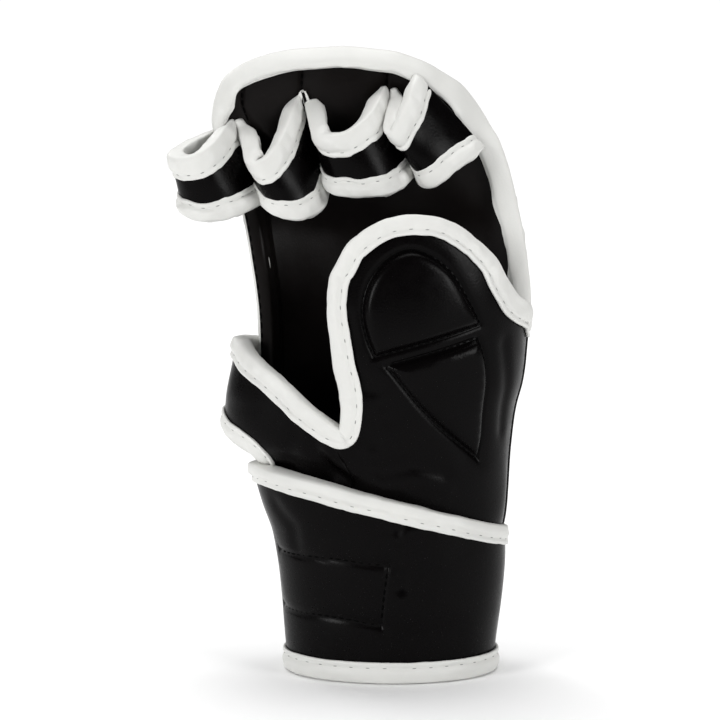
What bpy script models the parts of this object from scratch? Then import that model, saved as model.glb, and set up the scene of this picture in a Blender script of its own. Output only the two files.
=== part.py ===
"""Right-hand mma sparring glove, palm side facing -Y, fingers up, standing on the cuff.

Every pattern piece is an outline laid on a form (back of the hand, palm, cuff, finger loops)
and given two offsets from it, so neighbouring layers are parallel shells with a small gap.
All sizes are millimetres until the mesh is made.
"""

import math

import bpy
import numpy as np
from mathutils import Vector
from mathutils.geometry import delaunay_2d_cdt

WHOLE = 1.0  # scale of the whole glove
WIDE = 1.0  # scale across the hand
PAD_THICK = 1.0  # scale of the dorsal pad thickness
LEATHER = 1.3
GAP = 0.45
BIND_WIDE = 8.8  # how far a folded binding reaches over the edge on each side
BIND_THICK = 1.35
CUFF_THICK = 4.6
LOOP_THICK = 2.4
CELL = 10.5  # mesh cell of the coarse solid
KNUCKLE_Z = 188.0  # the flex line across the knuckles
ORIGIN = (-16.53, -1.13)  # middle of the glove's box in the forms' own x and y
EYE_BACK, EYE_UP = 996.0, 225.0  # outlines below are stated as seen from here, on the plane y = 0

BLACK = (0.012, 0.012, 0.013, 1)
WHITE = (0.82, 0.82, 0.8, 1)
FOAM = (0.10, 0.10, 0.11, 1)
CLOTH = (0.02, 0.02, 0.022, 1)
HOOK = (0.03, 0.03, 0.032, 1)


# ---------------------------------------------------------------- forms


def spline(x, knots):
    """Smooth curve through (x, y) knots, level beyond both ends."""
    xs, ys = np.array([k[0] for k in knots], float), np.array([k[1] for k in knots], float)
    slope = np.gradient(ys, xs)
    x = np.asarray(x, float)
    i = np.clip(np.searchsorted(xs, x) - 1, 0, len(xs) - 2)
    h = xs[i + 1] - xs[i]
    t = np.clip((x - xs[i]) / h, 0, 1)
    t2, t3 = t * t, t * t * t
    return (
        (2 * t3 - 3 * t2 + 1) * ys[i]
        + (t3 - 2 * t2 + t) * h * slope[i]
        + (3 * t2 - 2 * t3) * ys[i + 1]
        + (t3 - t2) * h * slope[i + 1]
    )


def step(a, b, x):
    t = np.clip((np.asarray(x, float) - a) / (b - a), 0, 1)
    return t * t * (3 - 2 * t)


CUFF_LEFT = [(0, -42.5), (27, -44.6), (50, -47.2), (60, -49.8), (72, -54), (88, -58.5)]
CUFF_RIGHT = [(0, 45.5), (12, 46), (29, 48), (52, 50), (62, 50.3), (88, 51)]
CUFF_DEEP = [(0, 33.5), (25, 35.5), (50, 37), (88, 38.5)]
CUFF_Y = -1.0
HAND_RIGHT = [(50, 41.8), (64, 42.4), (71.5, 48.8), (77, 50.6), (98, 52.3), (115, 54.6), (124, 57),
              (141, 59), (150, 59.6), (161, 60), (175, 58.6), (186, 57), (197, 55), (216, 50.5),
              (226, 47.5), (240, 46), (270, 46)]
BACK_LEFT = [(50, -38.4), (60, -41.6), (72, -46), (88, -50), (100, -53), (133, -54), (156, -55),
             (178, -58), (195, -61), (215, -66.5), (231, -73), (240, -75), (270, -77)]
PALM_LEFT = [(50, -38.4), (60, -41.6), (72, -46), (87, -50), (93, -58.5), (98, -65), (104, -68.6),
             (116, -69), (132, -67), (143, -65), (165, -65)]
BACK_SPINE = [(50, 27.9), (70, 28.3), (88, 29.2), (100, 32.6), (130, 38), (170, 42), (200, 41),
              (225, 34), (245, 23), (258, 12), (267, 3), (270, 0)]
BACK_DROP = [(50, 27.2), (88, 28.5), (100, 31.9), (130, 37.3), (170, 41.3), (200, 39), (225, 31),
             (245, 22), (258, 17), (270, 15)]
PALM_FRONT = [(50, -29.8), (70, -30.8), (84, -32), (100, -37.5), (116, -40.5), (145, -43),
              (165, -43), (180, -41.5), (196, -38.5)]
BACK_RADIUS, PALM_RADIUS, CUFF_RADIUS = 56.0, 62.0, 48.0
TAIL = 148.0  # degrees round the little-finger side where the ulnar band ends


def back(s, z):
    """Outer face of the dorsal pad: s runs across from the thumb side (+) to the little finger."""
    angle = np.asarray(s, float) / BACK_RADIUS
    left, right = spline(z, BACK_LEFT), spline(z, HAND_RIGHT)
    x = (left + right) / 2 + (right - left) / 2 * np.sin(angle)
    y = spline(z, BACK_SPINE) - spline(z, BACK_DROP) * (1 - np.cos(angle))
    return np.stack([x * WIDE, y, np.asarray(z, float) + 0 * x], -1)


def palm(s, z):
    """Outer face of the palm side. Past the little-finger edge it runs onto the dorsal pad."""
    angle = np.asarray(s, float) / PALM_RADIUS
    left, right = spline(z, PALM_LEFT), spline(z, HAND_RIGHT)
    front = spline(z, PALM_FRONT)
    x = (left + right) / 2 + (right - left) / 2 * np.sin(angle)
    y = front + (0.1 - front) * (1 - np.cos(angle))
    here = np.stack([x * WIDE, y, np.asarray(z, float) + 0 * x], -1)
    past = np.degrees(-angle) - 88
    across = BACK_RADIUS * np.radians(-80 + np.clip(past, 0, 70) * 0.62)
    on_back = back(across, z) + normal(BACK, across, z) * 7.5
    share = step(0, 42, past)[..., None]
    return here * (1 - share) + on_back * share


def cuff(s, z):
    """Outer face of the cuff tube: s runs from the front centre round the thumb side."""
    angle = np.asarray(s, float) / CUFF_RADIUS
    left, right = spline(z, CUFF_LEFT), spline(z, CUFF_RIGHT)
    x = (left + right) / 2 + (right - left) / 2 * np.sin(angle)
    y = CUFF_Y - spline(z, CUFF_DEEP) * np.cos(angle)
    return np.stack([x * WIDE, y, np.asarray(z, float) + 0 * x], -1)


BACK, PALM, CUFF = (back, -1), (palm, 1), (cuff, 1)


def slopes(form, s, z, h=0.4):
    f = form[0]
    return (f(s + h, z) - f(s - h, z)) / (2 * h), (f(s, z + h) - f(s, z - h)) / (2 * h)


def normal(form, s, z):
    a, b = slopes(form, np.asarray(s, float), np.asarray(z, float))
    n = np.cross(a, b) * form[1]
    return n / np.linalg.norm(n, axis=-1, keepdims=True)


def at(form, s, z, offset):
    return form[0](s, z) + normal(form, s, z) * np.asarray(offset, float)[..., None]


def walk(form, s, z, heading, far, steps=4):
    """Move `far` mm over the form from (s, z) towards the 3-D heading."""
    s, z = np.array(s, float), np.array(z, float)
    heading = np.array(heading, float)
    for _ in range(steps):
        a, b = slopes(form, s, z)
        n = np.cross(a, b)
        n /= np.linalg.norm(n, axis=-1, keepdims=True)
        d = heading - n * (heading * n).sum(-1, keepdims=True)
        d /= np.linalg.norm(d, axis=-1, keepdims=True)
        aa, ab, bb = (a * a).sum(-1), (a * b).sum(-1), (b * b).sum(-1)
        ra, rb = (a * d).sum(-1) * far / steps, (b * d).sum(-1) * far / steps
        det = aa * bb - ab * ab
        s = s + (ra * bb - rb * ab) / det
        z = z + (rb * aa - ra * ab) / det
        heading = d
    return s, z


# ---------------------------------------------------------------- outlines


def deg(form_radius, angle, z):
    return (math.radians(angle) * form_radius, z)


def seen(form, x, z):
    """(s, z) of the place on a form that the eye in front sees at (x, z) on the plane y = 0."""
    radius, left_knots = (BACK_RADIUS, BACK_LEFT) if form is BACK else (PALM_RADIUS, PALM_LEFT)
    y, s = 0.0, 0.0
    for _ in range(12):
        k = 1 + y / EYE_BACK
        tx, tz = x * k, EYE_UP + (z - EYE_UP) * k
        left, right = float(spline(tz, left_knots)), float(spline(tz, HAND_RIGHT))
        u = (tx - (left + right) / 2) / ((right - left) / 2)
        s = math.asin(max(-0.999, min(0.999, u))) * radius
        y = float(form[0](s, tz)[1])
    return (s, tz)


def smooth_run(points, pitch):
    """Points about `pitch` apart on a smooth curve through the given ones, the last left out."""
    points = [np.array(p, float) for p in points]
    if len(points) == 2:
        count = max(1, round(np.linalg.norm(points[1] - points[0]) / pitch))
        return [points[0] + (points[1] - points[0]) * i / count for i in range(count)]
    ends = [2 * points[0] - points[1]] + points + [2 * points[-1] - points[-2]]
    dense = []
    for i in range(1, len(ends) - 2):
        p0, p1, p2, p3 = ends[i - 1 : i + 3]
        for k in range(24):
            t = k / 24
            dense.append(0.5 * (2 * p1 + (p2 - p0) * t + (2 * p0 - 5 * p1 + 4 * p2 - p3) * t * t
                                + (3 * p1 - 3 * p2 + p3 - p0) * t**3))
    dense.append(points[-1])
    dense = np.array(dense)
    length = np.concatenate([[0], np.cumsum(np.linalg.norm(np.diff(dense, axis=0), axis=1))])
    count = max(2, round(length[-1] / pitch))
    where = np.linspace(0, length[-1], count + 1)[:-1]
    return [np.array([np.interp(w, length, dense[:, k]) for k in range(dense.shape[1])])
            for w in where]


def outline(runs, pitch=CELL):
    return [p for run in runs for p in smooth_run(run, pitch)]


def open_run(run, pitch=CELL):
    return np.array(smooth_run(run, pitch) + [np.array(run[-1], float)])


def inside(points, polygon):
    polygon = np.array(polygon)
    x, y = points[:, 0], points[:, 1]
    found = np.zeros(len(points), bool)
    j = len(polygon) - 1
    for i in range(len(polygon)):
        a, b = polygon[i], polygon[j]
        crosses = (a[1] > y) != (b[1] > y)
        run = np.where(a[1] == b[1], 1, b[1] - a[1])
        found ^= crosses & (x < (b[0] - a[0]) * (y - a[1]) / run + a[0])
        j = i
    return found


def depth_in(points, polygon):
    """Distance to the nearest edge, positive inside."""
    polygon = np.array(polygon)
    nearest = np.full(len(points), 1e9)
    for i in range(len(polygon)):
        a, b = polygon[i - 1], polygon[i]
        ab = b - a
        t = np.clip(((points - a) @ ab) / max(ab @ ab, 1e-9), 0, 1)
        nearest = np.minimum(nearest, np.linalg.norm(points - a - t[:, None] * ab, axis=1))
    return np.where(inside(points, polygon), nearest, -nearest)


# ---------------------------------------------------------------- solids


def add(name, points, faces, colour, rough=0.5):
    mesh = bpy.data.meshes.new(name)
    move = np.array([ORIGIN[0] * WIDE, ORIGIN[1], 0])
    mesh.from_pydata([tuple(WHOLE * 0.001 * (np.array(p) - move)) for p in points], [], faces)
    mesh.validate()
    obj = bpy.data.objects.new(name, mesh)
    bpy.context.scene.collection.objects.link(obj)
    material = bpy.data.materials.new(name)
    material.use_nodes = True
    shader = material.node_tree.nodes["Principled BSDF"]
    shader.inputs["Base Color"].default_value = colour
    shader.inputs["Roughness"].default_value = rough
    mesh.materials.append(material)
    return obj


def piece(name, form, edge, low, high, colour, extra=(), cell=CELL):
    """A flat pattern piece wrapped on its form between two offsets, which are functions of (s, z)."""
    edge = [tuple(p) for p in edge]
    area = sum(edge[i - 1][0] * edge[i][1] - edge[i][0] * edge[i - 1][1] for i in range(len(edge)))
    if area < 0:
        edge = edge[::-1]
    poly = np.array(edge)
    lo, hi = poly.min(0), poly.max(0)
    rows = []
    for j in range(int((hi[1] - lo[1]) / (cell * 0.87)) + 2):
        for i in range(int((hi[0] - lo[0]) / cell) + 2):
            rows.append((lo[0] + (i + 0.5 * (j % 2)) * cell, lo[1] + j * cell * 0.87))
    inner = np.array(rows)
    inner = inner[depth_in(inner, poly) > cell * 0.55]
    if len(extra):
        extra = np.array(extra)
        extra = extra[depth_in(extra, poly) > 1.5]
        far = np.min(np.linalg.norm(inner[:, None] - extra[None], axis=2), axis=1)
        inner = np.concatenate([inner[far > cell * 0.45], extra])
    count = len(edge)
    spots = [Vector(p) for p in edge] + [Vector(p) for p in inner]
    links = [(i, (i + 1) % count) for i in range(count)]
    verts, _, tris, source, _, _ = delaunay_2d_cdt(spots, links, [], 1, 1e-4)
    flat = np.array([tuple(v) for v in verts])
    rim = [next(i for i, src in enumerate(source) if k in src) for k in range(count)]
    s, z = flat[:, 0], flat[:, 1]
    upper, lower = at(form, s, z, high(s, z)), at(form, s, z, low(s, z))
    n = len(flat)
    turned = form[1] < 0
    faces = []
    for tri in tris:
        a, b, c = tri
        if np.cross(flat[b] - flat[a], flat[c] - flat[a]) < 0:
            a, b, c = a, c, b
        faces.append((a, c, b) if turned else (a, b, c))
        faces.append((a + n, b + n, c + n) if turned else (a + n, c + n, b + n))
    for k in range(count):
        i, j = rim[k], rim[(k + 1) % count]
        faces.append((i, i + n, j + n, j)[:: -1 if turned else 1])
    return add(name, np.concatenate([upper, lower]), faces, colour)


def flat_offset(value):
    return lambda s, z: value + 0 * np.asarray(s, float)


def sweep(name, stations, colour, closed=False):
    """A solid through a list of equal sections, each a ring of points."""
    stations = [np.array(ring) for ring in stations]
    count, around = len(stations), len(stations[0])
    points = np.concatenate(stations)
    faces = []
    for i in range(count if closed else count - 1):
        j = (i + 1) % count
        for k in range(around):
            m = (k + 1) % around
            faces.append((i * around + k, i * around + m, j * around + m, j * around + k))
    if not closed:
        faces.append(tuple(range(around))[::-1])
        faces.append(tuple((count - 1) * around + k for k in range(around)))
    obj = add(name, points, faces, colour)
    volume = sum(
        Vector(points[f[0]]).dot(Vector(points[f[k]]).cross(Vector(points[f[k + 1]])))
        for f in faces
        for k in range(1, len(f) - 1)
    )
    if volume < 0:
        obj.data.flip_normals()
    return obj


def binding(name, form, run, toward, thick, colour=WHITE, closed=False, wide=BIND_WIDE,
            pitch=CELL, bent=False, ruled=None, g=GAP):
    """A strip folded over an edge. `thick(s, z)` is the edge's thickness inward from the form,
    and `toward(s, z)` gives places on the piece's side of the edge."""
    path = np.array(smooth_run(run, pitch)) if closed else open_run(run, pitch)
    s, z = path[:, 0], path[:, 1]
    spot = form[0](s, z)
    if closed:
        along = np.roll(spot, -1, axis=0) - np.roll(spot, 1, axis=0)
    else:
        along = np.gradient(spot, axis=0)
    along /= np.linalg.norm(along, axis=1, keepdims=True)
    up = normal(form, s, z)
    inward = np.cross(up, along)
    inward /= np.linalg.norm(inward, axis=1, keepdims=True)
    inward *= np.sign(((form[0](*toward(s, z)) - spot) * inward).sum())
    deep = thick(s, z)
    t = g + BIND_THICK

    def on(e, o, under):
        if e <= 0:
            height = o - deep if under else o + 0 * deep
            return spot + inward * e + up * height[..., None]
        a, b = ruled(s, z, e) if ruled else walk(form, s, z, inward, e)
        return at(form, a, b, o - thick(a, b) if under else o + 0 * a)

    half = [wide / 2] if bent else []
    rings = [on(e, t, 0) for e in [wide] + half + [-0.2]] + [on(-t, -0.2, 0), on(-t, 0.2, 1)]
    rings += [on(e, -t, 1) for e in [-0.2] + half + [wide]]
    rings += [on(e, -g, 1) for e in [wide] + half + [-g]]
    rings += [on(e, g, 0) for e in [-g] + half + [wide]]
    rings = np.array(rings)
    return sweep(name, [rings[:, i] for i in range(len(s))], colour, closed)


def tube(name, form, low_edge, high_edge, low, high, colour, around=32):
    """A closed band round the cuff between two edge curves and two offsets."""
    rise = [lambda a, b: a, lambda a, b: a + BIND_WIDE, lambda a, b: (a + b) / 2,
            lambda a, b: b - BIND_WIDE, lambda a, b: b]
    s = np.arange(around) / around * 2 * math.pi * CUFF_RADIUS
    loops = []
    for offset in (high, low):
        for height in rise:
            loops.append(at(form, s, height(low_edge(s), high_edge(s)), offset + 0 * s))
    outer, inner = loops[: len(rise)], loops[len(rise) :]
    ring = outer + inner[::-1]
    ring = np.array(ring)
    return sweep(name, [ring[:, i] for i in range(around)], colour, closed=True)


# ---------------------------------------------------------------- thicknesses


PAD_CENTRE = [(50, 5), (87, 8), (110, 14), (150, 17), (178, 18), (188, 18.5), (205, 23), (225, 22),
              (245, 16), (258, 10), (267, 7)]


def back_thick(s, z):
    centre = spline(z, PAD_CENTRE) * PAD_THICK
    edge = spline(z, [(50, 5), (87, 6), (110, 7), (270, 7)])
    edge = edge - 3.2 * step(20, 70, -s) * (1 - step(196, 232, z)) * step(90, 112, z)
    share = np.clip(1 - (np.abs(s) / 84) ** 3, 0, 1)
    return edge + (centre - edge) * share


def palm_thick(s, z):
    return 4.6 + 6.2 * np.exp(-(((s - 18) / 30) ** 2) - (((z - 152) / 36) ** 2))


def layers(prefix, form, edge, thick, foam_edge=None, extra=(), bump=None, cell=CELL):
    lift = bump or flat_offset(0)
    piece(prefix + "_cover", form, edge, flat_offset(-LEATHER), lift, BLACK, extra, cell)
    piece(prefix + "_lining", form, edge, lambda s, z: -thick(s, z),
          lambda s, z: -thick(s, z) + LEATHER, CLOTH, (), cell)
    if foam_edge is not None:
        piece(prefix + "_foam", form, foam_edge,
              lambda s, z: -thick(s, z) + LEATHER + GAP + 0.35, flat_offset(-LEATHER - GAP), FOAM,
              (), cell)


for old in list(bpy.data.objects):
    bpy.data.objects.remove(old)


# ---------------------------------------------------------------- dorsal pad


def b_(angle, z):
    return deg(BACK_RADIUS, angle, z)


def bs(x, z):
    return seen(BACK, x, z)


EDGE = 84  # degrees round each side where the dorsal pad's free edge lies
hand_back_edge = outline([
    [b_(-EDGE, KNUCKLE_Z - 0.4), b_(-EDGE, 133), b_(-EDGE, 87), b_(-EDGE, 54)],
    [b_(-EDGE, 54), b_(90, 54)],
    [b_(90, 54), b_(90, 100), b_(90, 150)],
    [b_(90, 150), b_(EDGE, 159)],
    [b_(EDGE, 159), b_(EDGE, KNUCKLE_Z - 0.4)],
    [b_(EDGE, KNUCKLE_Z - 0.4), b_(-EDGE, KNUCKLE_Z - 0.4)],
])
hand_back_foam = outline([
    [b_(-EDGE + 13, KNUCKLE_Z - 1.2), b_(-EDGE + 13, 133), b_(-EDGE + 13, 92)],
    [b_(-EDGE + 13, 92), b_(82, 92)],
    [b_(82, 92), b_(80, 150), b_(EDGE - 6, KNUCKLE_Z - 1.2)],
    [b_(EDGE - 6, KNUCKLE_Z - 1.2), b_(-EDGE + 13, KNUCKLE_Z - 1.2)],
])
ARCH = [(53.5, 200), (50, 214.5), (46.2, 225.5), (42, 233), (35.6, 243.5), (29.8, 250), (21, 255.8),
        (13.4, 259.6), (4.6, 262.8), (-3, 264), (-18, 265.4), (-29, 265), (-41.6, 264), (-54.3, 261),
        (-62.8, 257.4), (-68.4, 252.9), (-71.2, 247.4), (-73, 240), (-72.6, 231)]
arch_run = [b_(EDGE, KNUCKLE_Z + 0.4)] + [bs(x, z) for x, z in ARCH] + [b_(-EDGE, 213), b_(-EDGE, KNUCKLE_Z + 0.4)]
knuckle_edge = outline([arch_run, [b_(-EDGE, KNUCKLE_Z + 0.4), b_(EDGE, KNUCKLE_Z + 0.4)]], 8.0)
low, high = b_(0, KNUCKLE_Z + 1.2), b_(0, 256)


def drawn_in(run, form_mid, share):
    mid = np.array(form_mid)
    return [tuple(mid + (np.array(p) - mid) * share) for p in run]


knuckle_foam = outline([
    [b_(EDGE - 6, KNUCKLE_Z + 1.2)] + drawn_in([bs(x, z) for x, z in ARCH], (-8, 205), 0.92)
    + [b_(-EDGE + 12, 213), b_(-EDGE + 13, KNUCKLE_Z + 1.2)],
    [b_(-EDGE + 13, KNUCKLE_Z + 1.2), b_(EDGE - 6, KNUCKLE_Z + 1.2)],
])
layers("back", BACK, hand_back_edge, back_thick, hand_back_foam)
layers("knuckle", BACK, knuckle_edge, back_thick, knuckle_foam, cell=8.5)
binding("knuckle_binding", BACK, [b_(EDGE, KNUCKLE_Z + 1)] + arch_run[1:-1] + [b_(-EDGE, KNUCKLE_Z + 1)], lambda s, z: (s * 0.7, z * 0.7 + 62), back_thick, pitch=9.5, bent=True, wide=10)
binding("back_left_binding", BACK, [b_(-EDGE, KNUCKLE_Z - 1), b_(-EDGE, 160), b_(-EDGE, 133), b_(-EDGE, 100)],
        lambda s, z: (s + 9, z), back_thick, pitch=14, bent=True, g=0.55)
binding("back_right_binding", BACK, [b_(EDGE, KNUCKLE_Z - 1), b_(EDGE, 175), b_(EDGE, 161)],
        lambda s, z: (s - 9, z), back_thick, pitch=12, bent=True)


# ---------------------------------------------------------------- palm and thumb


def p_(angle, z):
    return deg(PALM_RADIUS, angle, z)


def ps(x, z):
    return seen(PALM, x, z)


V_RUN = [p_(84, 156.5), ps(55.5, 159.5), ps(50.5, 166.5), ps(45.2, 176)]
SPLIT_TOP, SPLIT_LOW = ps(45.2, 176), ps(45, 151)
GROOVE_LEFT = ps(-22.4, 131.5)
NOTCH_RUN = [GROOVE_LEFT, ps(-20, 122), ps(-18.8, 112), ps(-20.2, 105)]
BAND_TOP = [ps(-20.2, 105), ps(-31, 110.5), ps(-45, 123), ps(-54.4, 130.5), p_(-76, 141),
            p_(-95, 142), p_(-120, 140), p_(-TAIL, 137)]
BAND_LOW = [p_(-TAIL, 109), p_(-120, 107), p_(-95, 105.5), p_(-80, 101.5), p_(-70, 97.5),
            p_(-62, 93.5)]
palm_edge = outline([
    [p_(-88, 54), p_(89.5, 54)],
    [p_(89.5, 54), p_(89.5, 100), p_(89.5, 151)],
    [p_(89.5, 151), p_(84, 156.5)],
    V_RUN,
    [SPLIT_TOP, SPLIT_LOW],
    [SPLIT_LOW, GROOVE_LEFT],
    NOTCH_RUN,
    BAND_TOP,
    [BAND_TOP[-1], BAND_LOW[0]],
    BAND_LOW,
    [BAND_LOW[-1], p_(-70, 86), p_(-88, 76)],
    [p_(-88, 76), p_(-88, 54)],
])
lobe_shift = 0.9
LOBE_RUN = [ps(44.2, 177), ps(38.8, 182.4), ps(26.3, 191.2), ps(12, 194.2), ps(-2.2, 191.7),
            ps(-14.6, 183.6), ps(-20.6, 174.2), ps(-24.1, 166), ps(-24.2, 150), ps(-22.6, 132.6)]
thumb_edge = outline([
    LOBE_RUN,
    [ps(-22.6, 132.6), ps(44, 152.2)],
    [ps(44, 152.2), ps(44.2, 177)],
])
D_PAD = [ps(-5.6, 134), ps(17, 140.8), ps(40, 148), ps(41, 152), ps(35, 160.5), ps(27.5, 171.5),
         ps(18, 178.5), ps(9.5, 180.5), ps(0, 176), ps(-8, 167), ps(-11, 156), ps(-9.5, 143)]
D_PAD[0] = ps(-5.6, 136.5)
HEEL_PAD = [ps(-0.4, 131.6), ps(20, 138), ps(39.6, 143.6), ps(42.2, 128), ps(38.7, 91),
            ps(26, 104), ps(12, 118)]


def bump(s, z):
    spots = np.stack([np.asarray(s, float), np.asarray(z, float)], -1)
    high = 0.0
    for pad in (D_PAD, HEEL_PAD):
        high = high + 1.7 * step(-0.3, 3.2, depth_in(spots, pad))
    return high


def rings(pad):
    mid = np.mean(np.array(pad), axis=0)
    edge = np.array(outline([pad + [pad[0]]], 8.0))
    return [tuple(mid + (p - mid) * k) for k in (0.83, 1.0) for p in edge]


def palm_foam_edge(pad, grow):
    mid = np.mean(np.array(pad), axis=0)
    return outline([[tuple(mid + (np.array(p) - mid) * grow) for p in pad + [pad[0]]]])


layers("palm", PALM, palm_edge, palm_thick, None, rings(HEEL_PAD), bump)
layers("thumb", PALM, thumb_edge, palm_thick, None, rings(D_PAD), bump)
for label, pad in (("thumb_pad_foam", D_PAD), ("heel_pad_foam", HEEL_PAD)):
    piece(label, PALM, palm_foam_edge(pad, 0.97),
          lambda s, z: -palm_thick(s, z) + LEATHER + GAP, flat_offset(-LEATHER - GAP), FOAM)
binding("thumb_binding", PALM, LOBE_RUN, lambda s, z: (s * 0.6 + 6, z * 0.6 + 60), palm_thick, pitch=8)
binding("thumb_web_binding", PALM, [p_(89, 155.5)] + V_RUN[:-2] + [ps(52, 164.3)], lambda s, z: (s - 2, z - 9), palm_thick, pitch=8)
binding("notch_binding", PALM, [ps(-21.8, 129.6)] + NOTCH_RUN[1:-1] + [ps(-19.4, 107.5)], lambda s, z: (s + 9, z),
        palm_thick, pitch=8)
binding("band_top_binding", PALM, [ps(-33, 112)] + BAND_TOP[2:], lambda s, z: (s, z - 9),
        palm_thick, pitch=11, bent=True)
binding("band_low_binding", PALM, BAND_LOW, lambda s, z: (s, z + 9), palm_thick, pitch=11, wide=8, bent=True, g=1.35)


# ---------------------------------------------------------------- cuff and strap

SOLE = GAP + BIND_THICK  # the bottom binding ends on z = 0


def cuff_low(s):
    return SOLE + 0 * s


def cuff_high(s):
    return 72.5 - 14.2 * np.sin(s / CUFF_RADIUS)


tube("cuff_cover", CUFF, cuff_low, cuff_high, -LEATHER, 0, BLACK)
tube("cuff_foam", CUFF, lambda s: cuff_low(s) + 1, lambda s: cuff_high(s) - 1,
     -CUFF_THICK + LEATHER + 0.3, -LEATHER - 0.3, FOAM)
tube("cuff_lining", CUFF, cuff_low, cuff_high, -CUFF_THICK, -CUFF_THICK + LEATHER, CLOTH)


def cuff_binding(name, edge, rise, around=32):
    s = np.arange(around) / around * 2 * math.pi * CUFF_RADIUS
    run = [(a, float(edge(np.array(a)))) for a in s] + [(2 * math.pi * CUFF_RADIUS, float(edge(np.array(0.0))))]
    binding(name, CUFF, run, lambda s, z: (s, z + rise), flat_offset(CUFF_THICK), closed=True,
            pitch=2 * math.pi * CUFF_RADIUS / around)


cuff_binding("cuff_top_binding", cuff_high, -9)
cuff_binding("cuff_bottom_binding", cuff_low, 9)
for vertex in bpy.data.objects["cuff_bottom_binding"].data.vertices:
    if vertex.co.z < 0.0012 * WHOLE:
        vertex.co.z = 0.0  # the rim is pressed flat where the glove stands


def c_(angle, z):
    return deg(CUFF_RADIUS, angle, z)


def panel(name, a0, a1, z0, z1, low, high, colour, cell=8.0, round_end=False):
    """A rectangle on the cuff, in degrees round it, with its free end rounded if asked."""
    z_mid, half = (z0 + z1) / 2, (z1 - z0) / 2
    if round_end:
        end = [c_(a0 - 7 * math.sin(t) ** 0.7, z_mid + half * math.cos(t))
               for t in [math.pi * k / 8 for k in range(9)]]
        runs = [[c_(a1, z0), c_(a1, z1)], [c_(a1, z1), end[0]], end, [end[-1], c_(a1, z0)]]
    else:
        runs = [[c_(a0, z0), c_(a1, z0)], [c_(a1, z0), c_(a1, z1)], [c_(a1, z1), c_(a0, z1)],
                [c_(a0, z1), c_(a0, z0)]]
    return piece(name, CUFF, outline(runs, cell), flat_offset(low), flat_offset(high), colour, cell=cell)


STRAP_LOW, STRAP_HIGH, STRAP_ROOT, STRAP_END = 17.0, 51.0, 230.0, 120.0
panel("strap_loop_patch", 123, 180, STRAP_LOW + 3, STRAP_HIGH - 3, 0.8, 2.0, HOOK)
panel("strap_hook_patch", 125, 160, STRAP_LOW + 4, STRAP_HIGH - 4, 2.6, 3.7, HOOK)
panel("strap", STRAP_END, STRAP_ROOT, STRAP_LOW, STRAP_HIGH, 4.3, 6.6, BLACK, round_end=True)
panel("strap_anchor", STRAP_ROOT + 0.8, STRAP_ROOT + 13, STRAP_LOW, STRAP_HIGH, 0.8, 6.6, BLACK)
panel("wrist_anchor_patch", -62, -3, 20, 52, -CUFF_THICK - 1.9, -CUFF_THICK - 0.7, HOOK)


# ---------------------------------------------------------------- finger loops


def pad_inner(x, z, away):
    """The place just in front of the dorsal lining that lies at (x, z)."""
    s, t = bs(x, z)
    for _ in range(8):
        p = at(BACK, np.array(s), np.array(t), -back_thick(np.array(s), np.array(t)) - away)
        s, t = s + (x - float(p[0])), t + (z - float(p[2]))
    return tuple(float(c) for c in p)


# Upper and lower rims of each loop, little finger first: (x, z) roots on the lining, then (x, y, z).
LOOPS = [
    ([(-78, 9, 226), (-87, 3, 224), (-93, -5, 221), (-90, -14, 218), (-81, -18, 219.5),
      (-75, -15, 223.5), (-71, -8, 229), (-68.5, 0, 231.5)],
     [(-77, 12, 201), (-84, 7, 199), (-88, -1, 197), (-84, -10, 195), (-75, -15, 193.2),
      (-65, -13, 195.2), (-58, -7, 198.5), (-54.5, 0, 201.5)]),
    ([(-58.5, 235), (-58.5, -4, 226), (-57.5, -14, 217), (-52, -18.5, 217.5), (-46, -17, 224),
      (-43, -9, 234), (-41, 243)],
     [(-47.5, 203), (-48, -3, 199), (-45, -12, 195), (-39.5, -16, 193.3), (-33, -14, 195),
      (-30.5, -4, 200), (-30, 205)]),
    ([(-33.5, 244), (-32, -3, 237), (-27, -13, 230.5), (-18, -17.5, 229.5), (-9.5, -14, 236),
      (-5, -4, 244), (-3, 248)],
     [(-23, 207), (-21, -3, 203.5), (-15, -13, 201.6), (-5, -17, 201.5), (2.5, -13, 203),
      (7.5, -3, 206.5), (10, 211)]),
    ([(1.5, -4, 229), (3.5, -12, 233), (6, -15, 238), (9, -12.5, 243.5), (11.5, -7, 249)],
     [(15.5, -2, 213), (20, -10, 209), (26, -12, 210.5), (32, -9, 214.5), (35.5, -5, 217)]),
]


LOOP_AWAY = [4.6, 4.6, 4.6, 4.6]


def rail(points, away):
    return [pad_inner(*p, away) if len(p) == 2 else p for p in points]


def on_rail(points, share):
    dense = np.array(smooth_run(points, 1.0) + [np.array(points[-1], float)])
    length = np.concatenate([[0], np.cumsum(np.linalg.norm(np.diff(dense, axis=0), axis=1))])
    w = np.clip(share, -0.1, 1.1) * length[-1]
    inside_part = np.stack([np.interp(w, length, dense[:, k]) for k in range(3)], -1)
    before = np.minimum(w, 0)[..., None] * (dense[1] - dense[0]) / length[1]
    last = (dense[-1] - dense[-2]) / (length[-1] - length[-2])
    return inside_part + before + np.maximum(w - length[-1], 0)[..., None] * last


def loop_form(upper, lower, away):
    upper, lower = rail(upper, away), rail(lower, away)

    def surface(s, z):
        s, z = np.asarray(s, float), np.asarray(z, float)
        top, bottom = on_rail(upper, s / 100 + 0 * z), on_rail(lower, s / 100 + 0 * z)
        return top + (bottom - top) * (z / 30)[..., None]

    return (surface, -1)


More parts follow.
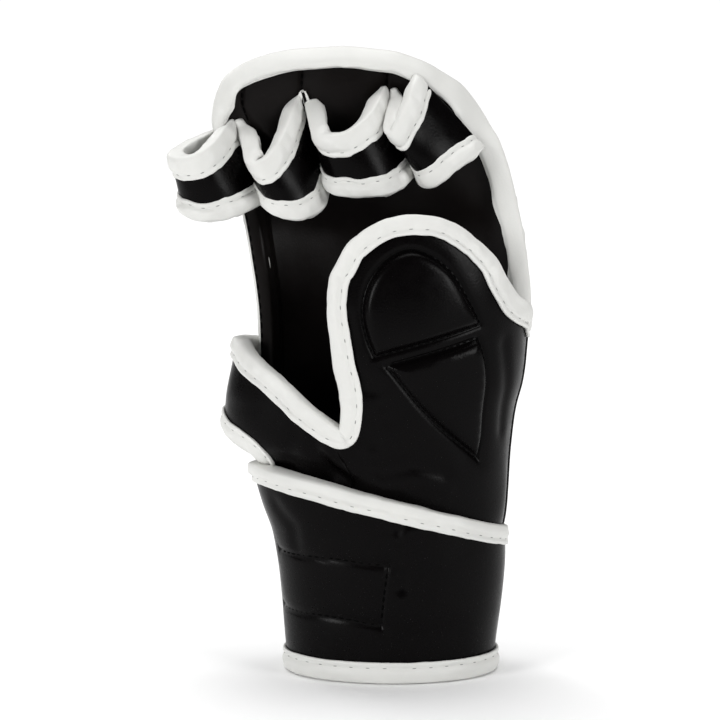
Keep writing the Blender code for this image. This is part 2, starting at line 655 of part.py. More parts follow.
for number, (upper, lower) in enumerate(LOOPS, 1):
    form = loop_form(upper, lower, LOOP_AWAY[number - 1])
    # The form's own normal has to point out of the loop, away from the finger.
    mid = form[0](np.array(50.0), np.array(15.0))
    ends = (form[0](np.array(0.0), np.array(15.0)) + form[0](np.array(100.0), np.array(15.0))) / 2
    if np.dot(normal(form, np.array(50.0), np.array(15.0)), mid - ends) < 0:
        form = (form[0], 1)
    cells = 10
    s = np.linspace(0, 100, cells + 1)
    corners = [at(form, s, z + 0 * s, o + 0 * s)
               for z, o in ((0, 0), (15, 0), (30, 0), (30, -LOOP_THICK), (15, -LOOP_THICK), (0, -LOOP_THICK))]
    sweep(f"finger_loop_{number}", [np.array([c[i] for c in corners]) for i in range(cells + 1)], BLACK)
    tall = np.linalg.norm(corners[0] - corners[2], axis=1)
    for label, z in (("upper", 0), ("lower", 30)):
        turn = 1 if z == 0 else -1
        binding(f"loop_{number}_{label}_binding", form, [(0, z), (100, z)], lambda s, z: (s, 15 + 0 * z),
                flat_offset(LOOP_THICK), wide=8.0, pitch=100 / cells, g=LOOP_THICK * 0.42,
                ruled=lambda s, z, e, turn=turn, tall=tall: (s, z + turn * e * 30 / tall))
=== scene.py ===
"""The looks of a right-hand mma sparring glove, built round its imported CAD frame.

Every pattern piece lies on the same forms as its CAD solid (back of the hand, palm, cuff, loops).
Lengths are millimetres until a mesh is made.
"""

import math
from functools import partial

import bpy
import numpy as np
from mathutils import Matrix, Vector, kdtree
from mathutils.geometry import delaunay_2d_cdt


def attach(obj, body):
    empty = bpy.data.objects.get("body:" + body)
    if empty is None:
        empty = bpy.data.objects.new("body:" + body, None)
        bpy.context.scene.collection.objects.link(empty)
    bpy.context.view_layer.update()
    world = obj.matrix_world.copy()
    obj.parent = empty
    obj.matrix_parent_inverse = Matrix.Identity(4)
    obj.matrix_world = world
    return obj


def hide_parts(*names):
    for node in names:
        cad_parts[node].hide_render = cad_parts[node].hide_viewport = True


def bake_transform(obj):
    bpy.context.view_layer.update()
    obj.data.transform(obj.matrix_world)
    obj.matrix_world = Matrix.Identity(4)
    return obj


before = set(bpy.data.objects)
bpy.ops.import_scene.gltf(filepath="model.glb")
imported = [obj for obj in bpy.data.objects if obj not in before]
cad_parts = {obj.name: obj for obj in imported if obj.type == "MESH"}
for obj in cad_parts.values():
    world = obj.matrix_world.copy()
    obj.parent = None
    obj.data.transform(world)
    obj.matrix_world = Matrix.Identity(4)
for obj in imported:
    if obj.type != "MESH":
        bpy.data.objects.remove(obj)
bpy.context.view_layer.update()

SHIFT = np.array([16.53, 1.13, 0.0])  # from the forms' own origin to the row frame's
MM = 0.001
LEATHER = 1.3
KNUCKLE_Z = 188.0  # the flex line across the knuckles
EYE_BACK, EYE_UP = 996.0, 225.0  # outlines are stated as seen from here, on the plane y = 0


# ---- forms
def spline(x, knots):
    """Smooth curve through (x, y) knots, level beyond both ends."""
    xs, ys = np.array([k[0] for k in knots], float), np.array([k[1] for k in knots], float)
    slope = np.gradient(ys, xs)
    x = np.asarray(x, float)
    i = np.clip(np.searchsorted(xs, x) - 1, 0, len(xs) - 2)
    h = xs[i + 1] - xs[i]
    t = np.clip((x - xs[i]) / h, 0, 1)
    t2, t3 = t * t, t * t * t
    return (
        (2 * t3 - 3 * t2 + 1) * ys[i]
        + (t3 - 2 * t2 + t) * h * slope[i]
        + (3 * t2 - 2 * t3) * ys[i + 1]
        + (t3 - t2) * h * slope[i + 1]
    )


def step(a, b, x):
    t = np.clip((np.asarray(x, float) - a) / (b - a), 0, 1)
    return t * t * (3 - 2 * t)


def bell(d, width):
    return np.exp(-((d / width) ** 2))


def unit(v):
    return v / np.linalg.norm(v, axis=-1, keepdims=True)


CUFF_LEFT = [(0, -43.1), (27, -45.6), (50, -48), (60, -49.8), (72, -54), (88, -58.5)]
CUFF_RIGHT = [(0, 45.9), (12, 46.9), (29, 48.9), (52, 50.6), (62, 50.3), (88, 51)]
CUFF_DEEP = [(0, 33.5), (25, 35.5), (50, 37), (88, 38.5)]
CUFF_Y = -1.0
HAND_RIGHT = [(50, 45.5), (58, 47.8), (64, 49.6), (71, 50.6), (77, 51), (98, 52.3), (115, 54.6), (124, 57),
              (141, 59), (150, 59.6), (161, 60), (175, 58.6), (186, 57), (197, 55), (216, 50.5),
              (226, 47.5), (240, 46), (270, 46)]
BACK_LEFT = [(50, -38.4), (60, -41.6), (72, -46), (88, -50), (100, -53), (133, -54), (156, -55),
             (178, -58), (195, -61), (215, -66.5), (231, -73), (240, -75), (270, -77)]
PALM_LEFT = [(50, -38.4), (60, -41.6), (72, -46), (89, -51), (94, -59), (98.5, -65.5), (104, -69.2),
             (116, -69.8), (132, -67), (143, -65), (165, -65)]
BACK_SPINE = [(50, 27.9), (70, 28.3), (88, 29.2), (100, 32.6), (130, 38), (170, 42), (200, 41),
              (225, 34), (245, 23), (258, 12), (267, 3), (270, 0)]
BACK_DROP = [(50, 27.2), (88, 28.5), (100, 31.9), (130, 37.3), (170, 41.3), (200, 39), (225, 31),
             (245, 22), (258, 17), (270, 15)]
PALM_FRONT = [(50, -29.8), (70, -31.4), (80, -33.5), (90, -36), (101, -38.2), (116, -40.5), (145, -43),
              (165, -43), (180, -41.5), (196, -38.5)]
BACK_RADIUS, PALM_RADIUS, CUFF_RADIUS = 56.0, 62.0, 48.0
TAIL = 148.0  # degrees round the little-finger side where the ulnar band ends


def rounded(left, right, angle, y, z):
    """Places at depth y, turned by `angle` between a left and a right edge curve."""
    left, right = spline(z, left), spline(z, right)
    x = (left + right) / 2 + (right - left) / 2 * np.sin(angle)
    return np.stack([x, y, np.asarray(z, float) + 0 * x], -1)


def back(s, z):
    """Outer face of the dorsal pad: s runs across from the thumb side (+) to the little finger."""
    angle = np.asarray(s, float) / BACK_RADIUS
    y = spline(z, BACK_SPINE) - spline(z, BACK_DROP) * (1 - np.cos(angle))
    return rounded(BACK_LEFT, HAND_RIGHT, angle, y, z)


def palm(s, z):
    """Outer face of the palm side. Past the little-finger edge it runs onto the dorsal pad."""
    angle = np.asarray(s, float) / PALM_RADIUS
    front = spline(z, PALM_FRONT)
    here = rounded(PALM_LEFT, HAND_RIGHT, angle, front + (0.1 - front) * (1 - np.cos(angle)), z)
    past = np.degrees(-angle) - 88
    across = BACK_RADIUS * np.radians(-80 + np.clip(past, 0, 70) * 0.62)
    on_back = back(across, z) + normal(BACK, across, z) * 7.5
    share = step(0, 42, past)[..., None]
    return here * (1 - share) + on_back * share


def cuff(s, z):
    """Outer face of the cuff tube: s runs from the front centre round the thumb side."""
    angle = np.asarray(s, float) / CUFF_RADIUS
    return rounded(CUFF_LEFT, CUFF_RIGHT, angle, CUFF_Y - spline(z, CUFF_DEEP) * np.cos(angle), z)


BACK, PALM, CUFF = (back, -1), (palm, 1), (cuff, 1)


def slopes(form, s, z, h=0.4):
    f = form[0]
    return (f(s + h, z) - f(s - h, z)) / (2 * h), (f(s, z + h) - f(s, z - h)) / (2 * h)


def normal(form, s, z):
    a, b = slopes(form, np.asarray(s, float), np.asarray(z, float))
    return unit(np.cross(a, b) * form[1])


def at(form, s, z, offset):
    return form[0](s, z) + normal(form, s, z) * np.asarray(offset, float)[..., None]


def walk(form, s, z, heading, far, steps=4):
    """Move `far` mm over the form from (s, z) towards the 3-D heading."""
    s, z = np.array(s, float), np.array(z, float)
    heading = np.array(heading, float)
    for _ in range(steps):
        a, b = slopes(form, s, z)
        n = unit(np.cross(a, b))
        d = unit(heading - n * (heading * n).sum(-1, keepdims=True))
        aa, ab, bb = (a * a).sum(-1), (a * b).sum(-1), (b * b).sum(-1)
        ra, rb = (a * d).sum(-1) * far / steps, (b * d).sum(-1) * far / steps
        det = aa * bb - ab * ab
        s = s + (ra * bb - rb * ab) / det
        z = z + (rb * aa - ra * ab) / det
        heading = d
    return s, z


# ---- outlines


def deg(form_radius, angle, z):
    return (math.radians(angle) * form_radius, z)


# For each form: its radius, its edge curves, a first guess of y, and how often to correct it.
SIGHTS = {back: (BACK_RADIUS, BACK_LEFT, HAND_RIGHT, 0.0, 12), palm: (PALM_RADIUS, PALM_LEFT, HAND_RIGHT, 0.0, 12),
          cuff: (CUFF_RADIUS, CUFF_LEFT, CUFF_RIGHT, -30.0, 10)}


def seen(form, x, z):
    """(s, z) of the place on a form that the eye in front sees at (x, z) on the plane y = 0."""
    radius, left_knots, right_knots, y, rounds = SIGHTS[form[0]]
    for _ in range(rounds):
        k = 1 + y / EYE_BACK
        tx, tz = x * k, EYE_UP + (z - EYE_UP) * k
        left, right = float(spline(tz, left_knots)), float(spline(tz, right_knots))
        u = (tx - (left + right) / 2) / ((right - left) / 2)
        s = math.asin(max(-0.999, min(0.999, u))) * radius
        y = float(form[0](s, tz)[1])
    return (s, tz)


# Places on the dorsal, palm and cuff forms: by the angle round them, and as seen at (x, z).
b_, p_, c_ = (partial(deg, radius) for radius in (BACK_RADIUS, PALM_RADIUS, CUFF_RADIUS))
bs, ps, cs = (partial(seen, form) for form in (BACK, PALM, CUFF))


def smooth_run(points, pitch):
    """Points about `pitch` apart on a smooth curve through the given ones, the last left out."""
    p = np.array([tuple(q) for q in points], float)
    if len(p) == 2:
        count = max(1, round(np.linalg.norm(p[1] - p[0]) / pitch))
        return p[0] + (p[1] - p[0]) * (np.arange(count) / count)[:, None]
    ends = np.vstack([2 * p[0] - p[1], p, 2 * p[-1] - p[-2]])
    t = (np.arange(24) / 24)[:, None]
    dense = []
    for i in range(1, len(ends) - 2):
        p0, p1, p2, p3 = ends[i - 1 : i + 3]
        dense.append(0.5 * (2 * p1 + (p2 - p0) * t + (2 * p0 - 5 * p1 + 4 * p2 - p3) * t * t
                            + (3 * p1 - 3 * p2 + p3 - p0) * t**3))
    return even(np.vstack(dense + [p[-1:]]), pitch)[:-1]


def lengths(line):
    return np.concatenate([[0], np.cumsum(np.linalg.norm(np.diff(line, axis=0), axis=1))])


def spot_at(line, far, where):
    """The place on a line at a length `where`; `far` holds the lengths of its own points."""
    return np.stack([np.interp(where, far, line[:, k]) for k in range(line.shape[1])], -1)


def even(line, pitch):
    """The line cut into equal steps of about `pitch`."""
    far = lengths(line)
    count = max(2, round(far[-1] / pitch))
    return spot_at(line, far, np.linspace(0, far[-1], count + 1))


def outline(runs, pitch=1.7):
    """A closed outline. Each run is smooth and ends where the next begins, with a corner there."""
    return np.concatenate([smooth_run(run + [after[0]], pitch) for run, after in zip(runs, runs[1:] + runs[:1])])


def open_run(run, pitch):
    return np.vstack([smooth_run(run, pitch), np.array(run[-1], float)])


def inside(points, polygon):
    polygon = np.array(polygon)
    x, y = points[:, 0], points[:, 1]
    found = np.zeros(len(points), bool)
    j = len(polygon) - 1
    for i in range(len(polygon)):
        a, b = polygon[i], polygon[j]
        crosses = (a[1] > y) != (b[1] > y)
        run = np.where(a[1] == b[1], 1, b[1] - a[1])
        found ^= crosses & (x < (b[0] - a[0]) * (y - a[1]) / run + a[0])
        j = i
    return found


def near(spots, run):
    """Distance from places to an open line of (s, z) points."""
    run = np.array([tuple(p) for p in run], float)
    nearest = np.full(len(spots), 1e9)
    for a, b in zip(run[:-1], run[1:]):
        ab = b - a
        t = np.clip(((spots - a) @ ab) / max(ab @ ab, 1e-9), 0, 1)
        nearest = np.minimum(nearest, np.linalg.norm(spots - a - t[:, None] * ab, axis=1))
    return nearest


def depth_in(points, polygon):
    """Distance to the nearest edge, positive inside."""
    polygon = np.array(polygon)
    nearest = near(points, np.vstack([polygon[-1:], polygon]))
    return np.where(inside(points, polygon), nearest, -nearest)


PAD_CENTRE = [(50, 5), (87, 8), (110, 14), (150, 17), (178, 18), (188, 18.5), (205, 23), (225, 22),
              (245, 16), (258, 10), (267, 7)]


def back_thick(s, z):
    centre = spline(z, PAD_CENTRE)
    edge = spline(z, [(50, 5), (87, 6), (110, 7), (270, 7)])
    edge = edge - 5.4 * step(20, 66, -s) * (1 - 0.2 * step(240, 262, z)) * step(90, 112, z)
    edge = edge - 3.6 * step(30, 70, s) * (1 - 0.4 * step(240, 262, z)) * step(100, 125, z)
    share = np.clip(1 - (np.abs(s) / 84) ** 3, 0, 1)
    return edge + (centre - edge) * share


def palm_thick(s, z):
    return 4.6 + 6.2 * np.exp(-(((s - 18) / 30) ** 2) - (((z - 152) / 36) ** 2))


# ---- the forms carried round the thumb side


def palm_round(s, z):
    """The palm form, carried on past the thumb side over the back of the hand."""
    s, z = np.asarray(s, float), np.asarray(z, float)
    turn = math.pi / 2 * PALM_RADIUS
    front = palm(np.minimum(s, turn), z)
    front = front + np.array([0, 0.6, 0]) * step(0.75 * turn, turn, s)[..., None]
    rear = back(np.clip(math.pi - s / PALM_RADIUS, -3, math.pi / 2) * BACK_RADIUS, z)
    return np.where((s > turn)[..., None], rear, front)


def back_round(s, z):
    """The dorsal form, carried on past the thumb side over the palm."""
    s, z = np.asarray(s, float), np.asarray(z, float)
    turn = math.pi / 2 * BACK_RADIUS
    rear = back(np.minimum(s, turn), z)
    front = palm(np.clip(math.pi - s / BACK_RADIUS, -3, math.pi / 2) * PALM_RADIUS, z) + np.array([0, 0.6, 0])
    return np.where((s > turn)[..., None], front, rear)


PALM_ROUND, BACK_ROUND = (palm_round, 1), (back_round, -1)
SIDE_THICK = 5.2  # both edges are drawn to this where their bindings meet


def palm_edge_thick(s, z):
    share = step(70, 90, np.degrees(np.asarray(s, float) / PALM_RADIUS))
    return palm_thick(s, z) * (1 - share) + SIDE_THICK * share


def pad_edge_thick(s, z):
    share = step(76, 90, np.degrees(np.asarray(s, float) / BACK_RADIUS)) * (1 - step(165, 185, z))
    return back_thick(s, z) * (1 - share) + SIDE_THICK * share


# ---- noise


LATTICE = np.random.default_rng(11).random((32, 32, 32))


def noise(points, scale, seed=0):
    """Smooth noise from -1 to 1; `scale` is the size of its lumps, a number or one for each axis."""
    q = np.asarray(points, float) / scale + np.array([7.3, 3.1, 5.7]) * (seed + 1)
    i = np.floor(q).astype(int)
    f = q - i
    f = f * f * (3 - 2 * f)
    total = 0.0
    for corner in np.ndindex(2, 2, 2):
        share = np.prod(np.where(np.array(corner) == 1, f, 1 - f), axis=-1)
        k = (i + np.array(corner)) % 32
        total = total + share * LATTICE[k[..., 0], k[..., 1], k[..., 2]]
    return total * 2 - 1


def waves(s, z, scale, seed, layer=0):
    """The noise over the (s, z) places of a pattern piece."""
    return noise(np.stack([s, z + 0 * s, layer + 0 * s], -1), scale, seed)


def wander(u, scale, seed):
    return waves(u, 0, scale, seed)


def level(height):
    return lambda s, z: height + 0 * s


# ---- materials


def material(name, colour, rough, sheen=0.0, grain=0.9, bump=0.25, vary=0.12, level=0.5, kind="leather"):
    made = bpy.data.materials.new(name)
    made.use_nodes = True
    tree = made.node_tree
    shader = tree.nodes["Principled BSDF"]
    for key, value in (("Specular IOR Level", level), ("Sheen Weight", sheen), ("Sheen Roughness", 0.4)):
        shader.inputs[key].default_value = value
    link = tree.links.new

    def node(kind, **values):
        n = tree.nodes.new(kind)
        for key, value in values.items():
            n.inputs[key.replace("_", " ")].default_value = value
        return n

    place = tree.nodes.new("ShaderNodeTexCoord")

    def texture(kind, **values):
        n = node("ShaderNodeTex" + kind, **values)
        link(place.outputs["Object"], n.inputs["Vector"])
        return n

    cloud = texture("Noise", Scale=38.0, Detail=5.0, Roughness=0.6)
    tint = tree.nodes.new("ShaderNodeValToRGB")
    for stop, position, share in zip(tint.color_ramp.elements, (0.3, 0.72), (1 - vary, 1 + vary)):
        stop.position = position
        stop.color = tuple(min(1, c * share) for c in colour) + (1,)
    link(cloud.outputs["Fac"], tint.inputs["Fac"])
    link(tint.outputs["Color"], shader.inputs["Base Color"])
    scuff = texture("Noise", Scale=160.0, Detail=4.0, Roughness=0.7)
    span = node("ShaderNodeMapRange", From_Min=0.25, From_Max=0.75, To_Min=rough - 0.06, To_Max=rough + 0.08)
    link(scuff.outputs["Fac"], span.inputs["Value"])
    link(span.outputs["Result"], shader.inputs["Roughness"])
    if kind == "leather":
        cells = texture("Voronoi", Scale=1000.0 / grain, Randomness=1.0)
        cells.feature = "SMOOTH_F1"
        fine = texture("Noise", Scale=2600.0, Detail=2.0, Roughness=0.5)
        height = tree.nodes.new("ShaderNodeMath")
        height.operation = "MULTIPLY_ADD"
        height.inputs[1].default_value = 0.35
        link(fine.outputs["Fac"], height.inputs[0])
        link(cells.outputs["Distance"], height.inputs[2])
        out = height.outputs["Value"]
    elif kind == "weave":
        waves = []
        for turn in ("X", "Z"):
            wave = texture("Wave", Scale=1000.0 / grain / 6.28, Distortion=0.6, Detail=1.0)
            wave.bands_direction = turn
            waves.append(wave)
        height = tree.nodes.new("ShaderNodeMath")
        height.operation = "MAXIMUM"
        link(waves[0].outputs["Fac"], height.inputs[0])
        link(waves[1].outputs["Fac"], height.inputs[1])
        out = height.outputs["Value"]
    else:
        out = texture("Noise", Scale=1000.0 / grain, Detail=8.0, Roughness=0.75).outputs["Fac"]
    relief = node("ShaderNodeBump", Strength=bump, Distance=0.0003)
    link(out, relief.inputs["Height"])
    link(relief.outputs["Normal"], shader.inputs["Normal"])
    return made


BLACK = material("black_leather", (0.0013, 0.0010, 0.0011), 0.27, grain=0.8, bump=0.10, vary=0.15, level=0.055)
INNER = material("inner_leather", (0.0052, 0.0042, 0.0040), 0.34, grain=0.7, bump=0.10, vary=0.15, level=0.075)
LINING = material("lining_cloth", (0.010, 0.010, 0.011), 0.7, sheen=0.15, grain=0.7, bump=0.3, level=0.3, kind="weave")
WHITE = material("white_binding", (0.64, 0.64, 0.618), 0.45, grain=0.9, bump=0.14, vary=0.03, level=0.28)
THREAD = material("black_thread", (0.0008, 0.0008, 0.0008), 0.7, grain=0.3, bump=0.3, level=0.03, kind="fuzz")
PALE_THREAD = material("white_thread", (0.635, 0.635, 0.614), 0.55, grain=0.3, bump=0.2, vary=0.05, kind="fuzz")
# painted shade: grey capsules stand in for the shadow inside each needle hole on the white bindings
HOLE_SHADE = material("needle_hole_painted_shade", (0.22, 0.23, 0.22), 0.8, grain=0.3, bump=0.2, vary=0.2, level=0.2, kind="fuzz")
LOOPED = material("loop_fastener", (0.013, 0.013, 0.014), 0.9, sheen=0.5, grain=0.5, bump=1.0, level=0.2, kind="fuzz")
HOOKED = material("hook_fastener", (0.012, 0.012, 0.013), 0.5, grain=1.1, bump=1.0, level=0.5)


# ---- solids


def put(name, data, direction=None):
    """An object in the scene, its own +Z along a direction if there is one."""
    obj = bpy.data.objects.new(name, data)
    bpy.context.scene.collection.objects.link(obj)
    if direction is not None:
        obj.rotation_mode = "QUATERNION"
        obj.rotation_quaternion = Vector(direction).to_track_quat("Z", "Y")
    return obj


def add(name, points, faces, look, flat_from=None):
    """One object, in millimetres of the forms. Faces from `flat_from` on are its cut edges."""
    mesh = bpy.data.meshes.new(name)
    mesh.from_pydata(((np.asarray(points) + SHIFT) * MM).tolist(), [], faces)
    smooth = np.ones(len(mesh.polygons), bool)
    if flat_from is not None:
        smooth[flat_from:] = False
    mesh.polygons.foreach_set("use_smooth", smooth)
    mesh.materials.append(look)
    return put(name + "_visual", mesh)


def tree_of(places):
    tree = kdtree.KDTree(len(places))
    for i, p in enumerate(places):
        tree.insert((p[0], p[1], 0), i)
    tree.balance()
    return tree


def spread(edge, cell, extra=()):
    """Places about `cell` apart inside an outline, with closer ones where `extra` asks for them."""
    lo, hi = edge.min(0), edge.max(0)
    rows = np.arange(lo[1], hi[1], cell * 0.87)
    cols = np.arange(lo[0], hi[0] + cell, cell)
    grid = np.stack(np.meshgrid(cols, rows), -1)
    grid[1::2, :, 0] += cell / 2
    inner = grid.reshape(-1, 2)
    inner = inner[depth_in(inner, edge) > cell * 0.5]
    if len(extra):
        extra = np.asarray(extra)
        extra = extra[depth_in(extra, edge) > 0.5]
        tree = tree_of(extra)
        far = np.array([tree.find((p[0], p[1], 0))[2] for p in inner])
        inner = np.concatenate([inner[far > cell * 0.55], extra])
    return inner


def shell(name, form, edge, low, high, look, cell=2.0, extra=()):
    """A pattern piece wrapped on its form. `low` and `high` give offsets from (s, z, depth in the outline)."""
    area = np.sum(np.roll(edge, 1, 0)[:, 0] * edge[:, 1] - edge[:, 0] * np.roll(edge, 1, 0)[:, 1])
    if area < 0:
        edge = edge[::-1]
    inner = spread(edge, cell, extra)
    count = len(edge)
    spots = [Vector(p) for p in np.concatenate([edge, inner])]
    links = [(i, (i + 1) % count) for i in range(count)]
    verts, _, tris, source, _, _ = delaunay_2d_cdt(spots, links, [], 1, 1e-4)
    flat = np.array([tuple(v) for v in verts])
    owner = {}
    for i, src in enumerate(source):
        for k in src:
            owner[k] = i
    rim = np.array([owner[k] for k in range(count)])
    depth = np.maximum(depth_in(flat, edge), 0)
    s, z = flat[:, 0], flat[:, 1]
    top, bottom = at(form, s, z, high(s, z, depth)), at(form, s, z, low(s, z, depth))
    tris = np.array(tris)
    ab, ac = flat[tris[:, 1]] - flat[tris[:, 0]], flat[tris[:, 2]] - flat[tris[:, 0]]
    wrong = (ab[:, 0] * ac[:, 1] - ab[:, 1] * ac[:, 0]) < 0
    tris[wrong] = tris[wrong][:, ::-1]
    n = len(flat)
    after = np.roll(rim, -1)
    walls = np.stack([rim, rim + n, after + n, after], 1)
    if form[1] < 0:
        tris, walls = tris[:, ::-1], walls[:, ::-1]
    faces = tris.tolist() + (tris[:, ::-1] + n).tolist() + walls.tolist()
    return add(name, np.concatenate([top, bottom]), faces, look, 2 * len(tris))


def sweep(name, rings, look, closed=False):
    """A closed solid through rings of points, an array of (stations, around, 3)."""
    count, around = rings.shape[:2]
    i = np.arange(count if closed else count - 1)[:, None]
    k = np.arange(around)[None]
    j, m = (i + 1) % count, (k + 1) % around
    faces = np.stack(np.broadcast_arrays(i * around + k, i * around + m, j * around + m, j * around + k), -1)
    faces = faces.reshape(-1, 4)
    points = rings.reshape(-1, 3)
    a, b, c, d = (points[faces[:, q]] for q in range(4))
    way = -1 if np.sum(a * np.cross(b, c)) + np.sum(a * np.cross(c, d)) < 0 else 1
    faces = faces[:, ::way].tolist()
    if not closed:
        first = np.arange(around)
        faces += [first[::-way].tolist(), ((count - 1) * around + first)[::way].tolist()]
    return add(name, points, faces, look, count * around if closed else (count - 1) * around)


RUNG = 2.0  # a strip's form is worked out at this pitch across it
GROOVE = 0.56  # height of a sewn groove, as a share of the strip's own


class Fold:
    """A strip folded over an edge: its stations along the edge, and its section at each."""

    def __init__(self, form, run, toward, thick, closed=False, wide=8.5, under=8.0, proud=1.9, tall=1.75,
                 reach=1.5, ruled=None, ragged=0.2, crumple=0.25, seed=1, inset=2.4, wide_at=None):
        path = open_run(run, 0.35)
        spot = form[0](path[:, 0], path[:, 1])
        if closed:
            along = np.roll(spot, -1, 0) - np.roll(spot, 1, 0)
            along[0] = along[-1] = spot[1] - spot[-2]
        else:
            along = np.gradient(spot, axis=0)
        up = normal(form, path[:, 0], path[:, 1])
        inward = unit(np.cross(up, unit(along)))
        aim = form[0](*toward(path[:, 0], path[:, 1])) - spot
        inward *= np.sign((aim * inward).sum())
        keep = [0]
        least = math.cos(math.radians(8))
        for i in range(1, len(path)):
            if np.linalg.norm(spot[i] - spot[keep[-1]]) > reach or inward[i] @ inward[keep[-1]] < least:
                keep.append(i)
        if keep[-1] != len(path) - 1 and not closed:
            keep[-1 if len(keep) > 1 else 0] = len(path) - 1
        if closed and np.linalg.norm(spot[keep[-1]] - spot[0]) < reach / 2:
            keep.pop()
        keep = np.array(keep)
        self.closed, self.path = closed, path[keep]
        self.far = lengths(spot)[keep]
        self.spot, self.up, self.inward = spot[keep], up[keep], inward[keep]
        s, z = self.path[:, 0], self.path[:, 1]
        self.deep = thick(s, z)
        self.rungs = np.arange(0, wide + 3.1, RUNG)
        base, norm, deep = [self.spot], [self.up], [self.deep]
        for e in self.rungs[1:]:
            a, b = ruled(s, z, e) if ruled else walk(form, s, z, self.inward, e)
            base.append(form[0](a, b))
            norm.append(normal(form, a, b))
            deep.append(thick(a, b))
        self.base, self.norm, self.thick = np.array(base), np.array(norm), np.array(deep)
        u = self.far
        self.width = wide + ragged * (wander(u, 5.0, seed) + 0.6 * wander(u, 2.2, seed + 3))
        self.below = (under(s, z) if callable(under) else under) + ragged * wander(u, 4.0, seed + 5)
        if callable(wide_at):
            self.width = self.width - wide + wide_at(s, z)
        self.proud = proud * (1 + 0.13 * wander(u, 9.0, seed + 7) * min(1, crumple * 4))
        self.tall, self.crumple, self.seed, self.inset = tall, crumple, seed, inset
        self.squeeze = np.minimum(self.below / 4.5, 1)  # the inner side's section, drawn in where it is narrow

    def place(self, e, o, below=False):
        e = e + 0 * self.far
        q = np.clip(e / RUNG, 0, len(self.rungs) - 1.001)
        i = q.astype(int)
        f = (q - i)[:, None]
        k = np.arange(len(e))
        base = self.base[i, k] * (1 - f) + self.base[i + 1, k] * f
        norm = self.norm[i, k] * (1 - f) + self.norm[i + 1, k] * f
        deep = self.thick[i, k] * (1 - f[:, 0]) + self.thick[i + 1, k] * f[:, 0]
        return base + norm * ((-deep - o) if below else o + 0 * deep)[:, None]

    def lump(self, e, below=0):
        """Creases across the strip and slower waves along it."""
        e = e + 0 * self.far
        spots = np.stack([self.far, e + 40 * below, 0 * e], -1)
        fine = noise(spots, np.array([2.6, 9.0, 1.0]), self.seed + 11)
        slow = noise(spots, np.array([9.0, 16.0, 1.0]), self.seed + 13)
        return self.crumple * (0.45 * fine + 0.55 * slow)

    def rings(self):
        w, v, t = self.width, self.below, self.tall
        seam = w - self.inset
        # (distance from the edge, height, share of the creases)
        top = [(w - 0.05, 0.2, 0), (w + 0.05, 0.62 * t, 0), (w - 0.3, 0.8 * t, 0.3), (seam + 1.2, 0.86 * t, 0.5),
               (seam + 0.5, 0.74 * t, 0.2), (seam, GROOVE * t, 0.0), (seam - 0.5, 0.78 * t, 0.2),
               (seam - 1.3, 1.0 * t, 0.6), (seam * 0.62, 1.16 * t, 1), (seam * 0.36, 1.16 * t, 1), (0.9, 1.05 * t, 1)]
        rows = [self.place(e, o + g * self.lump(e)) for e, o, g in top]
        half = self.deep / 2 + t
        for angle in np.radians(np.arange(75, -76, -15)):
            e = -self.proud * math.cos(angle) ** 0.8
            o = np.sign(angle) * abs(math.sin(angle)) ** 0.8 * half - self.deep / 2
            bulge = 1 + self.lump(10 * angle, 1) * 0.35 / max(self.proud.mean(), 1)
            rows.append(self.spot + self.inward * (e * bulge)[:, None] + self.up * o[:, None])
        k = self.squeeze
        under = [(0.3 * k, 1.05 * t, 1), (v * 0.3, 1.1 * t, 1), (v * 0.5, 1.0 * t, 1), (v - 2.6 * k, 0.9 * t, 0.5),
                 (v - 2.1 * k, GROOVE * t, 0), (v - 1.6 * k, 0.8 * t, 0.3), (v - 0.3 * k, 0.75 * t, 0.3), (v, 0.2, 0)]
        rows += [self.place(e, o + g * self.lump(e, 1), True) for e, o, g in under]
        rows += [self.place(e, 0.12, True) for e in (v - 0.3 * k, v * 0.5, 0.15 * k)]
        rows += [self.spot + self.inward * -0.3 - self.up * self.deep[:, None], self.spot + self.inward * -0.3]
        rows += [self.place(e, 0.12) for e in (0.3, w * 0.5, w - 0.3)]
        return np.array(rows).transpose(1, 0, 2)

    def seam(self, below=False):
        """The sewing line on the strip, with its outward directions."""
        e = self.below - 2.1 * self.squeeze if below else self.width - self.inset
        line = self.place(e, 0.6 * self.tall + 0.1, below)
        return line, unit(self.place(e, 0.6 * self.tall + 1.1, below) - line)


def capsules(name, line, out, pitch, long, fat, look, shift=0.0, dip=0.3, lift=0.0, taper=1.0):
    """Short threads, or the grey marks of painted shade where they enter, laid end to end on a line."""
    far = lengths(line)
    count = max(1, int((far[-1] - long) / pitch))
    start = (far[-1] - (count - 1) * pitch) / 2 + shift
    mids = start + pitch * np.arange(count)
    mids = mids[(mids > long / 2) & (mids < far[-1] - long / 2)]
    shape = [(-0.5, 0.25, -dip), (-0.38, 0.8, -dip * 0.3), (0, 1.0, 0.0), (0.38, 0.8, -dip * 0.3), (0.5, 0.25, -dip)]
    points, faces = [], []
    for mid in mids:
        first = len(points)
        for share, girth, drop in shape:
            w = mid + share * long
            p, n = spot_at(line, far, w), spot_at(out, far, w)
            ahead = spot_at(line, far, w + 0.4) - spot_at(line, far, w - 0.4)
            ahead /= max(np.linalg.norm(ahead), 1e-9)
            n /= np.linalg.norm(n)
            side = np.cross(ahead, n)
            for turn in range(6):
                a = math.pi * turn / 3
                points.append(p + n * (drop + lift + fat * girth * taper * math.sin(a))
                              + side * fat * girth * math.cos(a))
        for i in range(len(shape) - 1):
            for k in range(6):
                m = (k + 1) % 6
                a = first + i * 6
                faces.append((a + k, a + m, a + 6 + m, a + 6 + k))
        faces.append(tuple(first + k for k in range(6))[::-1])
        faces.append(tuple(first + (len(shape) - 1) * 6 + k for k in range(6)))
    return add(name, np.array(points), faces, look)


